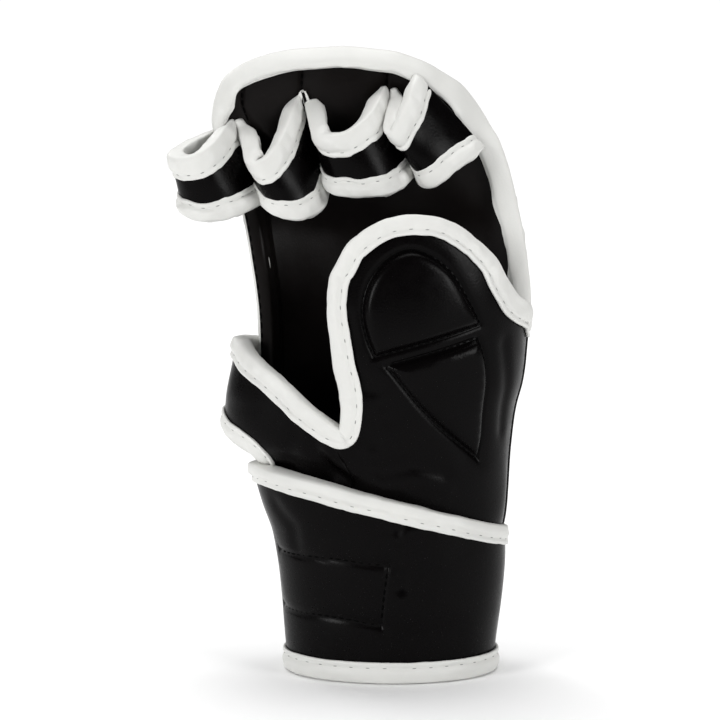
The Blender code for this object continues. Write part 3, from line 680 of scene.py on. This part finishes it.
def seam_on(name, form, run, height, pitch=3.3, long=2.6, fat=0.36):
    """A row of stitches along (s, z) places on a form, at a height given by (s, z)."""
    path = even(open_run(run, 0.8), 0.8)
    s, z = path[:, 0], path[:, 1]
    return capsules(name, at(form, s, z, height(s, z)), normal(form, s, z), pitch, long, fat, THREAD)


def pair(s, z):
    return np.stack([np.asarray(s, float), np.asarray(z, float) + 0 * np.asarray(s, float)], -1)


def beside(run, offsets, pitch=1.1, closed=False):
    """Rows of places beside a line, for a finer mesh there."""
    line = open_run(list(run) + ([run[0]] if closed else []), pitch)
    along = unit(np.gradient(line, axis=0))
    side = np.stack([-along[:, 1], along[:, 0]], -1)
    rows = np.concatenate([line + side * o for o in offsets])
    tree = tree_of(rows)
    kept = []
    gone = set()
    for i, p in enumerate(rows):
        if i in gone:
            continue
        kept.append(p)  # rows from an inner corner would crowd, so what is close to a kept place goes
        for _, j, _ in tree.find_range((p[0], p[1], 0), 0.42):
            if j != i:
                gone.add(j)
    return np.array(kept)


# ---- how the pieces ride


def turned(point):
    """A place of the forms as the frame's metres."""
    return tuple((np.array(point) + SHIFT) * MM)


def on_fingers(obj):
    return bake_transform(obj)


def on_thumb(obj):
    """Bakes the piece in place; the line across the palm below its V and its notch, where the flap opens, is not
    jointed here.
    """
    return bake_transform(obj)


def on_hand(obj):
    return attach(obj, "hand")


def on_loop(obj):
    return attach(obj, "finger_section")


def on_strap(obj):
    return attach(obj, "closure_strap")


def whole(obj, rides, slot, *nodes, padded=None):
    rides(obj)
    if nodes:
        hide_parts(*nodes)
    return obj


def bound(name, fold, rides, *nodes, part=slice(None), both=False, pitch=6.9):
    """A binding with its sewing: pale threads, and small grey marks of painted shade where they enter the binding.

    It stands for the nodes given, or else for the one that has its name.
    """
    whole(sweep(name, fold.rings()[part], WHITE, fold.closed), rides, "white_binding", *(nodes or [name]))
    for side, below in (("", False), ("_inner", True))[: 2 if both else 1]:
        line, out = (found[part] for found in fold.seam(below))
        if fold.closed:
            line, out = np.vstack([line, line[:1]]), np.vstack([out, out[:1]])
        for label, long, fat, look, shift, lift, flat in (
            ("_thread", pitch - 2.1, 0.30, PALE_THREAD, 0.0, -0.2, 0.7),
            # grey capsules of painted shade, standing in for the shadow in each needle hole
            ("_hole_painted_shade", 1.9, 0.24, HOLE_SHADE, pitch / 2, -0.1, 0.8),
        ):
            whole(capsules(name + side + label, line, out, pitch, long, fat, look, shift, 0.3, lift, flat),
                  rides, "white_binding")


# ---- dorsal pad


EDGE = 84  # degrees round each side where the pad's free edge lies
ARCH = [(53.5, 200), (50, 214.5), (46.2, 225.5), (42, 233), (35.6, 243.5), (29.8, 250), (21, 255.8),
        (13.4, 259.6), (4.6, 262.8), (-3, 264), (-18, 265.4), (-29, 265), (-41.6, 264), (-54.3, 261),
        (-62.8, 257.4), (-68.4, 252.9), (-71.2, 247.4), (-73, 240), (-72.6, 231)]
arch = [bs(x, z) for x, z in ARCH]
pad_rim = [b_(EDGE, 159), b_(EDGE, 172), b_(EDGE, KNUCKLE_Z)] + arch + [b_(-EDGE, 213), b_(-EDGE, KNUCKLE_Z),
                                                                      b_(-EDGE, 133), b_(-EDGE, 87), b_(-EDGE, 54)]
pad_edge = outline([pad_rim[:-1], [b_(-EDGE, 54)], [b_(90, 54), b_(90, 100)], [b_(90, 150)]])
# Between the fingers the pad is sewn through from each loop's root to the binding.
FINGER_SEAMS = [[bs(-65, 234), bs(-65.4, 246), bs(-63, 257)], [bs(-37, 246), bs(-37.2, 256), bs(-36, 264)],
                [bs(0, 249), bs(-0.4, 256), bs(0.4, 262.5)]]
KNUCKLE_LINE = [b_(angle, KNUCKLE_Z + rise) for angle, rise in ((-80, 4), (-40, 9), (0, 11), (40, 8), (80, 0))]
WRIST_LINE = [b_(-80, 118), b_(0, 112), b_(86, 116)]


def pressed(depth):
    """How far the binding squeezes the pad near its edge."""
    return 1 - step(6, 19, depth)


def pad_top(s, z, depth):
    spots = pair(s, z)
    lines = sum(1.5 * bell(near(spots, line), 1.5) + 1.0 * bell(near(spots, line), 5)
                for line in (KNUCKLE_LINE, WRIST_LINE))
    soft = waves(s, z, 26.0, 2) * 0.35
    return -1.3 * pressed(depth) * step(100, 150, z) - lines * step(2, 9, depth) + soft * step(2, 12, depth)


def pad_low(s, z, depth):
    spots = pair(s, z)
    seams = np.zeros(len(spots))
    for line in FINGER_SEAMS:
        d = near(spots, line)
        seams = seams + 1.3 * bell(d, 0.9) + 1.1 * bell(d, 4.5)
    soft = waves(s, z, 22.0, 5, 9) * 0.35
    return -back_thick(s, z) + 0.8 * pressed(depth) + np.minimum(seams, 2.4) + soft * step(2, 14, depth)


whole(shell("pad_cover", BACK, pad_edge, lambda s, z, d: pad_low(s, z, d) + LEATHER + 0.3, pad_top, BLACK, 2.1,
            np.concatenate([beside(line, (-3, -1.5, 0, 1.5, 3)) for line in (KNUCKLE_LINE, WRIST_LINE)])),
      on_fingers, "black_leather", "back_cover", "back_foam", "knuckle_cover", "knuckle_foam", padded=0.85)
whole(shell("pad_lining", BACK, pad_edge, pad_low, lambda s, z, d: pad_low(s, z, d) + LEATHER, INNER, 2.1,
            np.concatenate([beside(line, (-2.2, -1.1, 0, 1.1, 2.2)) for line in FINGER_SEAMS])),
      on_fingers, "lining", "back_lining", "knuckle_lining")
for number, line in enumerate(FINGER_SEAMS, 1):
    whole(seam_on(f"finger_seam_{number}", BACK, line,
                  lambda s, z: pad_low(s, z, np.full(len(s), 30.0)) - 0.1, fat=0.4), on_fingers, "lining")
for label, line in (("knuckle", KNUCKLE_LINE), ("wrist", WRIST_LINE)):
    whole(seam_on(f"{label}_seam", BACK, line, level(-2.35), fat=0.4), on_fingers, "black_leather")

pad_fold = Fold(BACK_ROUND, [b_(90.5, 153.5), b_(87.5, 154.5)] + pad_rim[:-2] + [b_(-EDGE, 100)],
                lambda s, z: (s * 0.7, z * 0.7 + 50), pad_edge_thick,
                under=lambda s, z: 0.9 + 1.0 * step(250, 260, z), proud=2.1, crumple=1.25, seed=3)
# Down the little-finger side the lining is turned over the binding and sewn there.
turned_over = (pad_fold.path[:, 0] < 0) & (pad_fold.path[:, 1] > 101) & (pad_fold.path[:, 1] < 226)
half = pad_fold.deep / 2 + pad_fold.tall
FACING_OUT, FACING_IN = 0.6, 0.05  # its two faces above the binding
rows = []
for away in (FACING_OUT, FACING_IN):
    skin = [pad_fold.spot + pad_fold.inward * (-(pad_fold.proud + away) * math.cos(a) ** 0.8)[:, None]
            + pad_fold.up * (np.sign(a) * abs(math.sin(a)) ** 0.8 * (half + away) - pad_fold.deep / 2)[:, None]
            for a in np.radians([26, 16, 4, -10, -24, -40, -58, -76])]
    skin += [pad_fold.place(e, pad_fold.tall * 1.05 + away, True) for e in (0.8, 2.4)]
    skin += [pad_fold.place(e, o + away, True) for e, o in ((4.4, 0.3), (7.0, -0.9), (9.5, -1.7))]
    rows += skin if away == FACING_OUT else skin[::-1]
rows = np.array(rows).transpose(1, 0, 2)[turned_over]
whole(sweep("pad_facing", rows, INNER), on_fingers, "lining")
line = rows[:, 1]
whole(capsules("pad_facing_stitches", line, line - pad_fold.spot[turned_over], 4.2, 3.2, 0.42, THREAD), on_fingers,
      "lining")
bound("pad_binding", pad_fold, on_fingers, "knuckle_binding", "back_left_binding", "back_right_binding", both=True)


# ---- palm, thumb lobe and the band round the little-finger side


V_RUN = [p_(84, 156.5), ps(55.5, 159.5), ps(50.5, 166.5), ps(45.2, 176)]
LOBE = [ps(38.8, 182.4), ps(26.3, 191.2), ps(12, 194.2), ps(-2.2, 191.7), ps(-14.6, 183.6), ps(-20.6, 174.2),
        ps(-24.1, 166), ps(-24.4, 150), ps(-22.4, 131.5), ps(-20, 122), ps(-18.8, 112), ps(-20.6, 102.4)]
BAND_TOP = [ps(-20.6, 102.4), ps(-31, 108.8), ps(-45, 121.2), ps(-54.2, 129), p_(-76, 141),
            p_(-95, 142), p_(-120, 140), p_(-TAIL, 137)]
BAND_LOW = [p_(-TAIL, 109), p_(-120, 107), p_(-95, 105), p_(-80, 102.2), p_(-68, 97.6),
            ps(-57, 93), ps(-52.6, 88.5), ps(-50, 83)]
SPLIT_LOW = ps(-20.8, 54)
palm_rim = V_RUN + LOBE
palm_edge = outline([[p_(89.5, 54), p_(89.5, 100)], [p_(89.5, 151)], palm_rim[:-1], LOBE[-1:], [SPLIT_LOW]])
band_edge = outline([BAND_TOP[:-1], BAND_TOP[-1:], BAND_LOW[:-1], [BAND_LOW[-1], ps(-51, 77)], [p_(-88, 70)],
                     [p_(-88, 54)], [SPLIT_LOW]])
# Outlines of the raised pads, corners kept.
D_LINE = outline([[ps(-5.9, 134.4)],
                  [ps(40.4, 148.6), ps(34.9, 159.6), ps(27.5, 171.3), ps(18, 178.6), ps(8.5, 180.9), ps(-1.2, 176),
                   ps(-8.6, 166.5), ps(-11.4, 154.5), ps(-9.4, 143)]], 1.2)
HEEL_LINE = outline([[ps(-1.2, 130.6)], [ps(39.2, 142.9), ps(42.2, 133), ps(42.4, 120), ps(40.6, 102)],
                     [ps(38.9, 90.6), ps(26, 101), ps(12, 114.6)]], 1.2)
CREASES = [  # (line, width, depth) of soft folds in the palm leather
    ([ps(-32, 100), ps(-30, 92), ps(-25, 85), ps(-16, 80)], 4.0, 1.8),
    ([ps(-25.5, 93), ps(-22.5, 88), ps(-17, 84)], 3.4, -1.0),
    ([ps(-2, 108), ps(-7, 97), ps(-15, 89), ps(-27, 82)], 4.8, 1.9),
    ([ps(-9, 93), ps(-15, 88), ps(-23, 84)], 3.6, -0.7),
    ([ps(-39, 100), ps(-42, 92), ps(-44, 85)], 3.2, 1.3),
    ([ps(24, 84), ps(10, 87), ps(-4, 85)], 4.6, 1.2),
    ([ps(26, 79), ps(12, 82), ps(-2, 79)], 4.0, -0.6),
    ([ps(50, 140), ps(51, 122), ps(49, 104)], 4.0, 0.8),
    ([ps(-17, 128), ps(-13, 122), ps(-6, 120)], 3.4, 1.1),
    ([ps(-18, 150), ps(-16, 140), ps(-17, 130)], 3.4, 0.8),
]


def palm_top(s, z, depth):
    spots = pair(s, z)
    high = waves(s, z, 24.0, 7) * 0.4 * step(3, 12, depth)
    for line in (D_LINE, HEEL_LINE):
        d = depth_in(spots, line)
        high = high + 2.3 * step(-0.2, 3.6, d) - 0.9 * bell(d, 0.8) - 0.5 * bell(d, 4)
    for line, width, deep in CREASES:
        high = high - deep * bell(near(spots, line), width)
    return high


def palm_low(s, z, depth):
    return -palm_thick(s, z) + 0.5 * bell(depth, 8)


fine_rows = np.concatenate([beside(list(line), (-2.6, -1.5, -0.7, 0, 0.7, 1.5, 2.5, 3.6), closed=True)
                            for line in (D_LINE, HEEL_LINE)])
for label, edge, rides, extra, covers, linings, fill in (
    ("palm", palm_edge, on_thumb, fine_rows, ("palm_cover", "thumb_cover", "thumb_pad_foam", "heel_pad_foam"),
     ("palm_lining", "thumb_lining"), 0.7),
    ("band", band_edge, on_hand, (), (), (), None),
):
    whole(shell(f"{label}_cover", PALM, edge, lambda s, z, d: palm_top(s, z, d) - LEATHER, palm_top, BLACK, 2.0, extra),
          rides, "black_leather", *covers, padded=fill)
    whole(shell(f"{label}_lining", PALM, edge, palm_low, lambda s, z, d: palm_low(s, z, d) + LEATHER, LINING, 2.6),
          rides, "lining", *linings)
for label, line in (("lobe_pad_seam", D_LINE), ("heel_pad_seam", HEEL_LINE)):
    ring = even(np.vstack([line, line[:1]]), 0.8)
    s, z = ring[:, 0], ring[:, 1]
    heights = palm_top(s, z, np.full(len(s), 20.0)) + 0.05
    whole(capsules(label, at(PALM, s, z, heights), normal(PALM, s, z), 3.2, 2.5, 0.36, THREAD),
          on_thumb, "black_leather")

rim = [p_(90.5, 152.5), p_(87.5, 153.6)] + palm_rim + BAND_TOP[1:]


def lobe_wide(s, z):
    """The binding is widest at the V on the thumb side, and a little wider down the notch."""
    return 7.1 + 2.9 * step(40, 70, s) + 0.9 * step(152, 136, z) * step(-36, -28, s) * step(108, 122, z)


palm_fold = Fold(PALM_ROUND, rim,
                 lambda s, z: (np.where(s < -21, s, s * 0.6 + 8), np.where(s < -21, z - 9, z * 0.6 + 56)),
                 palm_edge_thick, under=8.0, proud=1.9, crumple=1.3, ragged=0.35, seed=5, wide_at=lobe_wide)
notch = int(np.argmin(np.linalg.norm(palm_fold.path - np.array(BAND_TOP[0]), axis=1)))
bound("lobe_binding", palm_fold, on_thumb, "thumb_binding", "thumb_web_binding", "notch_binding", part=slice(notch + 1))
bound("band_top_binding", palm_fold, on_hand, part=slice(notch, None))
low_fold = Fold(PALM, BAND_LOW, lambda s, z: (s, z + 9), palm_thick, wide=8.6, under=7.0, proud=2.0, crumple=1.1,
                seed=9, wide_at=lambda s, z: 8.6 + 1.9 * step(-84, -70, s))
bound("band_low_binding", low_fold, on_hand)

# A cord covers the join of the palm and the pad down the thumb side.
cord_z = np.arange(62, 149, 1.5)
cord_s = np.full(len(cord_z), math.pi / 2 * PALM_RADIUS)
side, side_out = palm_round(cord_s, cord_z), normal(PALM_ROUND, cord_s, cord_z)
turns = np.radians(np.arange(0, 360, 30))
across = unit(np.cross(side_out, np.gradient(side, axis=0)))
cord = np.array([side + across * 1.5 * math.cos(a) + side_out * (1.0 * math.sin(a) - 0.1) for a in turns])
whole(sweep("side_piping", cord.transpose(1, 0, 2), BLACK), on_hand, "black_leather")
for label, s0 in (("front", 93.3), ("rear", 101.2)):
    line = [(s0, 149), (s0, 100), (s0, 64)]
    whole(seam_on(f"side_seam_{label}", PALM_ROUND, line, level(0.05)), on_hand, "black_leather")


# ---- cuff and strap


CUFF_THICK = 4.6
SOLE = 1.8
AROUND = 2 * math.pi * CUFF_RADIUS


def cuff_high(s):
    return 74.6 - 13.6 * np.sin(s / CUFF_RADIUS) + 3.2 * np.cos(s / CUFF_RADIUS)


PATCH = [cs(-44.4, 49.5), cs(-24, 46.8), cs(0, 43.6), cs(-1.6, 31), cs(-3, 17.4),
         cs(-24, 21.2), cs(-44, 25.4)]
PATCH_LINES = [[(PATCH[0][0] - 9, PATCH[0][1] + 0.6)] + PATCH[:3], PATCH[2:5],
               PATCH[4:] + [(PATCH[6][0] - 9, PATCH[6][1] + 0.8)]]
CUFF_CREASES = [
    ([cs(3.5, 60), cs(4, 50), cs(7, 40), cs(6, 34)], 2.8, 1.2),
    ([cs(5, 55), cs(10, 59), cs(20, 60)], 2.6, -0.8),
    ([cs(-48, 70), cs(-41, 61), cs(-40, 54)], 4.4, 0.7),
    ([cs(-10, 12), cs(10, 13), cs(30, 16)], 6.0, 0.35),
]


def cuff_top(s, z):
    s = (s + AROUND / 2) % AROUND - AROUND / 2
    spots = pair(s, z)
    turn = s / CUFF_RADIUS
    high = noise(np.stack([30 * np.sin(turn), 30 * np.cos(turn), z], -1), 24.0, 4) * 0.45
    for line in PATCH_LINES:
        d = near(spots, line)
        high = high - 0.75 * bell(d, 0.9) - 0.45 * bell(d, 4)
    for line, width, deep in CUFF_CREASES:
        high = high - deep * bell(near(spots, line), width)
    return high


def band_round(name, low, high, look, across, rows):
    """A closed band round the cuff; `across` places are closer together on its front."""
    share = np.arange(across) / across
    s = AROUND * (share - 0.09 * np.sin(2 * math.pi * share))
    tall = np.linspace(0, 1, rows)
    loops = []
    for offset, order in ((high, tall), (low, tall[::-1])):
        for t in order:
            z = SOLE + (cuff_high(s) - SOLE) * t
            loops.append(at(CUFF, s, z, offset(s, z)))
    return sweep(name, np.array(loops).transpose(1, 0, 2), look, closed=True)


whole(band_round("cuff_cover", lambda s, z: cuff_top(s, z) - LEATHER, cuff_top, BLACK, 320, 62),
      on_hand, "black_leather", "cuff_cover", "cuff_foam", padded=0.8)
whole(band_round("cuff_lining", level(-CUFF_THICK), level(-CUFF_THICK + LEATHER), LINING, 120, 20),
      on_hand, "lining", "cuff_lining")
for number, line in enumerate(PATCH_LINES, 1):
    whole(seam_on(f"cuff_patch_seam_{number}", CUFF, line, lambda s, z: cuff_top(s, z) + 0.05, 3.4, 2.7, 0.42),
          on_hand, "black_leather")
for label, height, rise, low in (("top", cuff_high, -9, False), ("bottom", lambda s: SOLE + 0 * s, 9, True)):
    run = [(a, float(height(np.array(a)))) for a in np.linspace(0, AROUND, 49)]
    fold = Fold(CUFF, run, lambda s, z, rise=rise: (s, z + rise), level(CUFF_THICK), closed=True,
                wide=6.8 if rise < 0 else 7.7, under=7.0, proud=1.8, crumple=0.7, ragged=0.2, seed=15 + rise)
    if low:
        fold.proud = np.full(len(fold.far), SOLE)
        fold.crumple = 0.35
    bound(f"cuff_{label}_binding", fold, on_hand, both=True, pitch=7.2)


def panel_edge(a0, a1, z0, z1, round_end=0.0):
    z_mid, half = (z0 + z1) / 2, (z1 - z0) / 2
    if not round_end:
        return outline([[c_(a0, z0)], [c_(a1, z0)], [c_(a1, z1)], [c_(a0, z1)]])
    end = [c_(a0 - round_end * math.sin(t) ** 0.7, z_mid + half * math.cos(t))
           for t in [math.pi * k / 12 for k in range(13)]]
    return outline([[c_(a1, z0)], [c_(a1, z1)], end[:-1], end[-1:]])


def slab(low, high, soft=1.0):
    """Offsets of a flat strip with rounded, slightly pressed edges."""
    return (lambda s, z, d: low + soft * 0.4 * np.exp(-d / 0.8),
            lambda s, z, d: high - soft * np.exp(-d / 1.0) + 0.12 * waves(s, z, 9.0, 3))


STRAP_LOW, STRAP_HIGH, STRAP_ROOT, STRAP_END = 17.0, 51.0, 230.0, 120.0
strap_edge = panel_edge(STRAP_END, STRAP_ROOT, STRAP_LOW, STRAP_HIGH, 7)
anchor_edge = panel_edge(STRAP_ROOT + 0.8, STRAP_ROOT + 13, STRAP_LOW, STRAP_HIGH)
for name, edge, low, high, soft, look, ride, slot in (
    ("strap_loop_patch", panel_edge(123, 180, STRAP_LOW + 3, STRAP_HIGH - 3), 0.6, 2.0, 0.3, LOOPED, on_hand,
     "hook_and_loop"),
    ("wrist_anchor_patch", panel_edge(-62, -3, 20, 52), -CUFF_THICK - 1.9, -CUFF_THICK - 0.6, 0.2, LOOPED, on_hand,
     "hook_and_loop"),
    ("strap_anchor", anchor_edge, 0.3, 6.5, 1.0, BLACK, on_hand, "black_leather"),
    ("strap_hook_patch", panel_edge(125, 160, STRAP_LOW + 4, STRAP_HIGH - 4), 2.6, 4.2, 0.2, HOOKED,
     on_strap, "hook_and_loop"),
    ("strap", strap_edge, 4.3, 6.6, 0.8, BLACK, on_strap, "black_leather"),
):
    low_at, high_at = slab(low, high, soft)
    whole(shell(name, CUFF, edge, low_at, high_at, look, 2.2), ride, slot, name)
a0, a1, z0, z1 = STRAP_END + 1, STRAP_ROOT - 4, STRAP_LOW + 4, STRAP_HIGH - 4
strap_stitch = outline([[c_(a0, z0)], [c_(a1, z0)], [c_(a1, z1)],
                        [c_(a0, z1), c_(STRAP_END - 2.5, STRAP_HIGH - 12), c_(STRAP_END - 3, 34),
                         c_(STRAP_END - 2.5, STRAP_LOW + 12)]])
whole(seam_on("strap_stitches", CUFF, list(strap_stitch) + [strap_stitch[0]], level(6.62), 3.4, 2.7, 0.38),
      on_strap, "black_leather")
for number, angle in enumerate((STRAP_ROOT + 3.4, STRAP_ROOT + 10.4), 1):
    whole(seam_on(f"anchor_stitches_{number}", CUFF, [c_(angle, STRAP_LOW + 2), c_(angle, STRAP_HIGH - 2)],
                  level(6.5), 3.4, 2.7, 0.38), on_hand, "black_leather")


# ---- finger loops


def root(x, z, away=1.2):
    """The place just in front of the dorsal lining that lies at (x, z)."""
    s, t = bs(x, z)
    for _ in range(8):
        p = at(BACK, np.array(s), np.array(t), -back_thick(np.array(s), np.array(t)) - away)
        s, t = s + (x - float(p[0])), t + (z - float(p[2]))
    return tuple(float(c) for c in p)


# Upper and lower rims of each loop, little finger first.
LOOPS = [
    ([(-70, 11, 233), (-76, 10, 230.5), (-84, 6, 226.5), (-90, 0, 223), (-92, -6, 220.5), (-89.5, -12, 218.8),
      (-84, -16, 218.8), (-78.5, -16.5, 221), (-74, -13, 225), (-70.5, -6, 230), (-67.5, 2, 233.5), root(-66.5, 236)],
     [(-72, 13, 207), (-77, 11, 203.2), (-84, 6, 201.2), (-88, -1, 199.2), (-85, -10, 196.7), (-78, -14.5, 194.6),
      (-70, -14, 195), (-63, -11, 197.2), (-57, -5, 200.2), (-53, 2, 203), (-51, 10, 206)]),
    ([root(-65, 236), (-63, 3, 232), (-61, -3, 227.5), (-59.6, -9, 222.5), (-58.4, -14, 218.2), (-55.4, -16.8, 216.6),
      (-50.6, -16.5, 219), (-46, -13, 225), (-43, -7.5, 231.5), (-41, -1, 239), (-38.4, 5, 245), root(-37, 248)],
     [root(-57, 208), (-55.5, 3, 204), (-53, -4, 201), (-49, -10, 198), (-43.5, -14, 196), (-37.5, -14.5, 195.2),
      (-32, -12, 196.8), (-28, -7, 200.3), (-26.5, 0, 206), root(-27, 211)]),
    ([root(-36, 248), (-34.5, 6, 243.5), (-32.8, 0, 238), (-31.4, -7, 232.2), (-29.4, -12.5, 228.6),
      (-24.5, -15.5, 227.8), (-18, -16, 229.2), (-12, -14, 232.8), (-7, -9, 238.5), (-3.6, -2, 245.5), root(-1.2, 250)],
     [root(-26, 213), (-26.2, 0, 209.5), (-24.6, -7, 207), (-20.5, -12, 205.4), (-13.5, -14.5, 205), (-5.5, -15, 205),
      (0.5, -13.5, 206), (5.5, -9, 208.4), (9, -3, 211.8), root(12, 216)]),
    ([root(1.5, 249), (1.6, 1, 244), (0.6, -5, 238.5), (-0.4, -10, 233.6), (0.2, -13.6, 230.8), (2.2, -15.4, 230.4),
      (4.8, -14.6, 234.6), (7.4, -12, 240.4), (9.6, -9, 246.2), (11.2, -5, 251.2), (12, -1, 255)],
     [root(12, 216), (12.6, 0, 212.4), (14.4, -6, 209.4), (17.8, -10.5, 208.6), (22.6, -11.5, 211.2), (28, -10, 215.6),
      (33, -6.5, 219.6), (37.4, -2.5, 222.6), (40.5, 1, 224.6)]),
]
LOOP_THICK = 4.2
LOOP_LONG, LOOP_TALL = 100, 30


def loop_form(upper, lower):
    """The form between a loop's two rims: s is 0 to LOOP_LONG along it, z is 0 to LOOP_TALL down from its upper rim."""
    rails = [even(open_run(rail, 0.25), 0.25) for rail in (upper, lower)]

    def on(rail, share):
        far = lengths(rail)
        return spot_at(rail, far, np.clip(share, 0, 1) * far[-1])

    def surface(s, z):
        s, z = np.asarray(s, float) + 0 * np.asarray(z, float), np.asarray(z, float) + 0 * np.asarray(s, float)
        top, bottom = on(rails[0], s / LOOP_LONG), on(rails[1], s / LOOP_LONG)
        return top + (bottom - top) * (z / LOOP_TALL)[..., None]

    return (surface, 1), lengths(rails[0])[-1]


def swell(z):
    """How far the padding stands out between the rims."""
    return 0.9 * np.sin(math.pi * z / LOOP_TALL) ** 0.7


def taper(s):
    """Share of the thickness left towards the two roots."""
    return 0.4 + 0.6 * step(0, 13, s) * step(0, 13, LOOP_LONG - s)


def across_loop(form, turn):
    """Steps in mm straight across a loop, down (1) or up (-1)."""
    def ruled(s, z, e):
        tall = np.linalg.norm(form[0](s, LOOP_TALL + 0 * s) - form[0](s, 0 * s), axis=-1)
        return s, z + turn * e * LOOP_TALL / tall
    return ruled


for number, (upper, lower) in enumerate(LOOPS, 1):
    form, long = loop_form(upper, lower)
    first, middle, last = (form[0](np.array(s), np.array(LOOP_TALL / 2)) for s in (0.0, LOOP_LONG / 2, 100.0))
    outward = normal(form, np.array(LOOP_LONG / 2), np.array(LOOP_TALL / 2))
    if np.dot(outward, middle - (first + last) / 2) < 0:
        form = (form[0], -1)
    s = np.linspace(0.5, LOOP_LONG - 0.5, 90)
    rows = np.linspace(0, LOOP_TALL, 17)
    ring = [at(form, s, z + 0 * s, swell(z) + 0.25 * waves(s * long / LOOP_LONG, z, 8.0, number)) for z in rows]
    ring += [at(form, s, z + 0 * s, -LOOP_THICK * taper(s) + swell(z)) for z in rows[::-1]]
    whole(sweep(f"finger_loop_{number}", np.array(ring).transpose(1, 0, 2), BLACK),
          on_loop, "black_leather", f"finger_loop_{number}")
    for label, z0, turn, wide, crumple in (("upper", 0, 1, 9.0, 1.5), ("lower", LOOP_TALL, -1, 7.4, 2.1)):
        fold = Fold(form, [(0.3, z0), (LOOP_LONG / 2, z0), (99.7, z0)], lambda s, z: (s, LOOP_TALL / 2 + 0 * z),
                    lambda s, z: LOOP_THICK * taper(s), wide=wide, under=wide - 1.2, proud=1.9, tall=1.8, reach=1.2,
                    ruled=across_loop(form, turn), crumple=crumple, ragged=0.6,
                    seed=20 + 2 * number + (z0 > 0), inset=2.2)
        fold.tall = fold.tall * taper(fold.path[:, 0])
        fold.proud = fold.proud * taper(fold.path[:, 0])
        bound(f"loop_{number}_{label}_binding", fold, on_loop, pitch=6.3)


# ---- camera, light and floor


def sun(name, direction, strength, angle):
    light = bpy.data.lights.new(name, "SUN")
    light.energy = strength
    light.angle = math.radians(angle)
    put(name, light, direction)


sun("overhead", (0.0, 0.26, 1.0), 2.5, 50)
sun("left_box", (-0.80, -0.66, 0.30), 1.9, 24)
sun("right_box", (0.82, -0.64, 0.32), 1.6, 26)
sun("rear_box", (-0.5, 0.70, 0.5), 0.6, 26)

DIM, WHITE_WALL = 0.07, 1.05
world = bpy.data.worlds.new("studio")
world.use_nodes = True
bpy.context.scene.world = world
tree = world.node_tree
ray = tree.nodes.new("ShaderNodeLightPath")
bright = tree.nodes.new("ShaderNodeMapRange")
bright.inputs["To Min"].default_value = DIM  # what the world gives as light
bright.inputs["To Max"].default_value = WHITE_WALL  # what the camera sees of it
tree.links.new(ray.outputs["Is Camera Ray"], bright.inputs["Value"])
tree.links.new(bright.outputs["Result"], tree.nodes["Background"].inputs["Strength"])
tree.nodes["Background"].inputs["Color"].default_value = (1, 1, 1, 1)

bpy.ops.mesh.primitive_plane_add(size=40, location=(0, 0, 0))
floor = bpy.context.object
floor.name = "floor"
floor.data.materials.append(material("pale_floor", (0.95, 0.95, 0.95), 0.8, grain=2.0, bump=0.0, vary=0.0, level=0.1))

LENS, AIM = 116.6, (-12.0, 0, 133.4)
view = bpy.data.cameras.new("camera")
view.sensor_width = 36.0
view.lens = LENS
camera = put("camera", view)
camera.location = turned((0, -EYE_BACK, EYE_UP))
aim = Vector(turned(AIM)) - camera.location
camera.rotation_mode = "QUATERNION"
camera.rotation_quaternion = aim.to_track_quat("-Z", "Y")
view.clip_start, view.clip_end = 0.05, 60
bpy.context.scene.camera = camera
bpy.context.scene.view_settings.view_transform = "Standard"
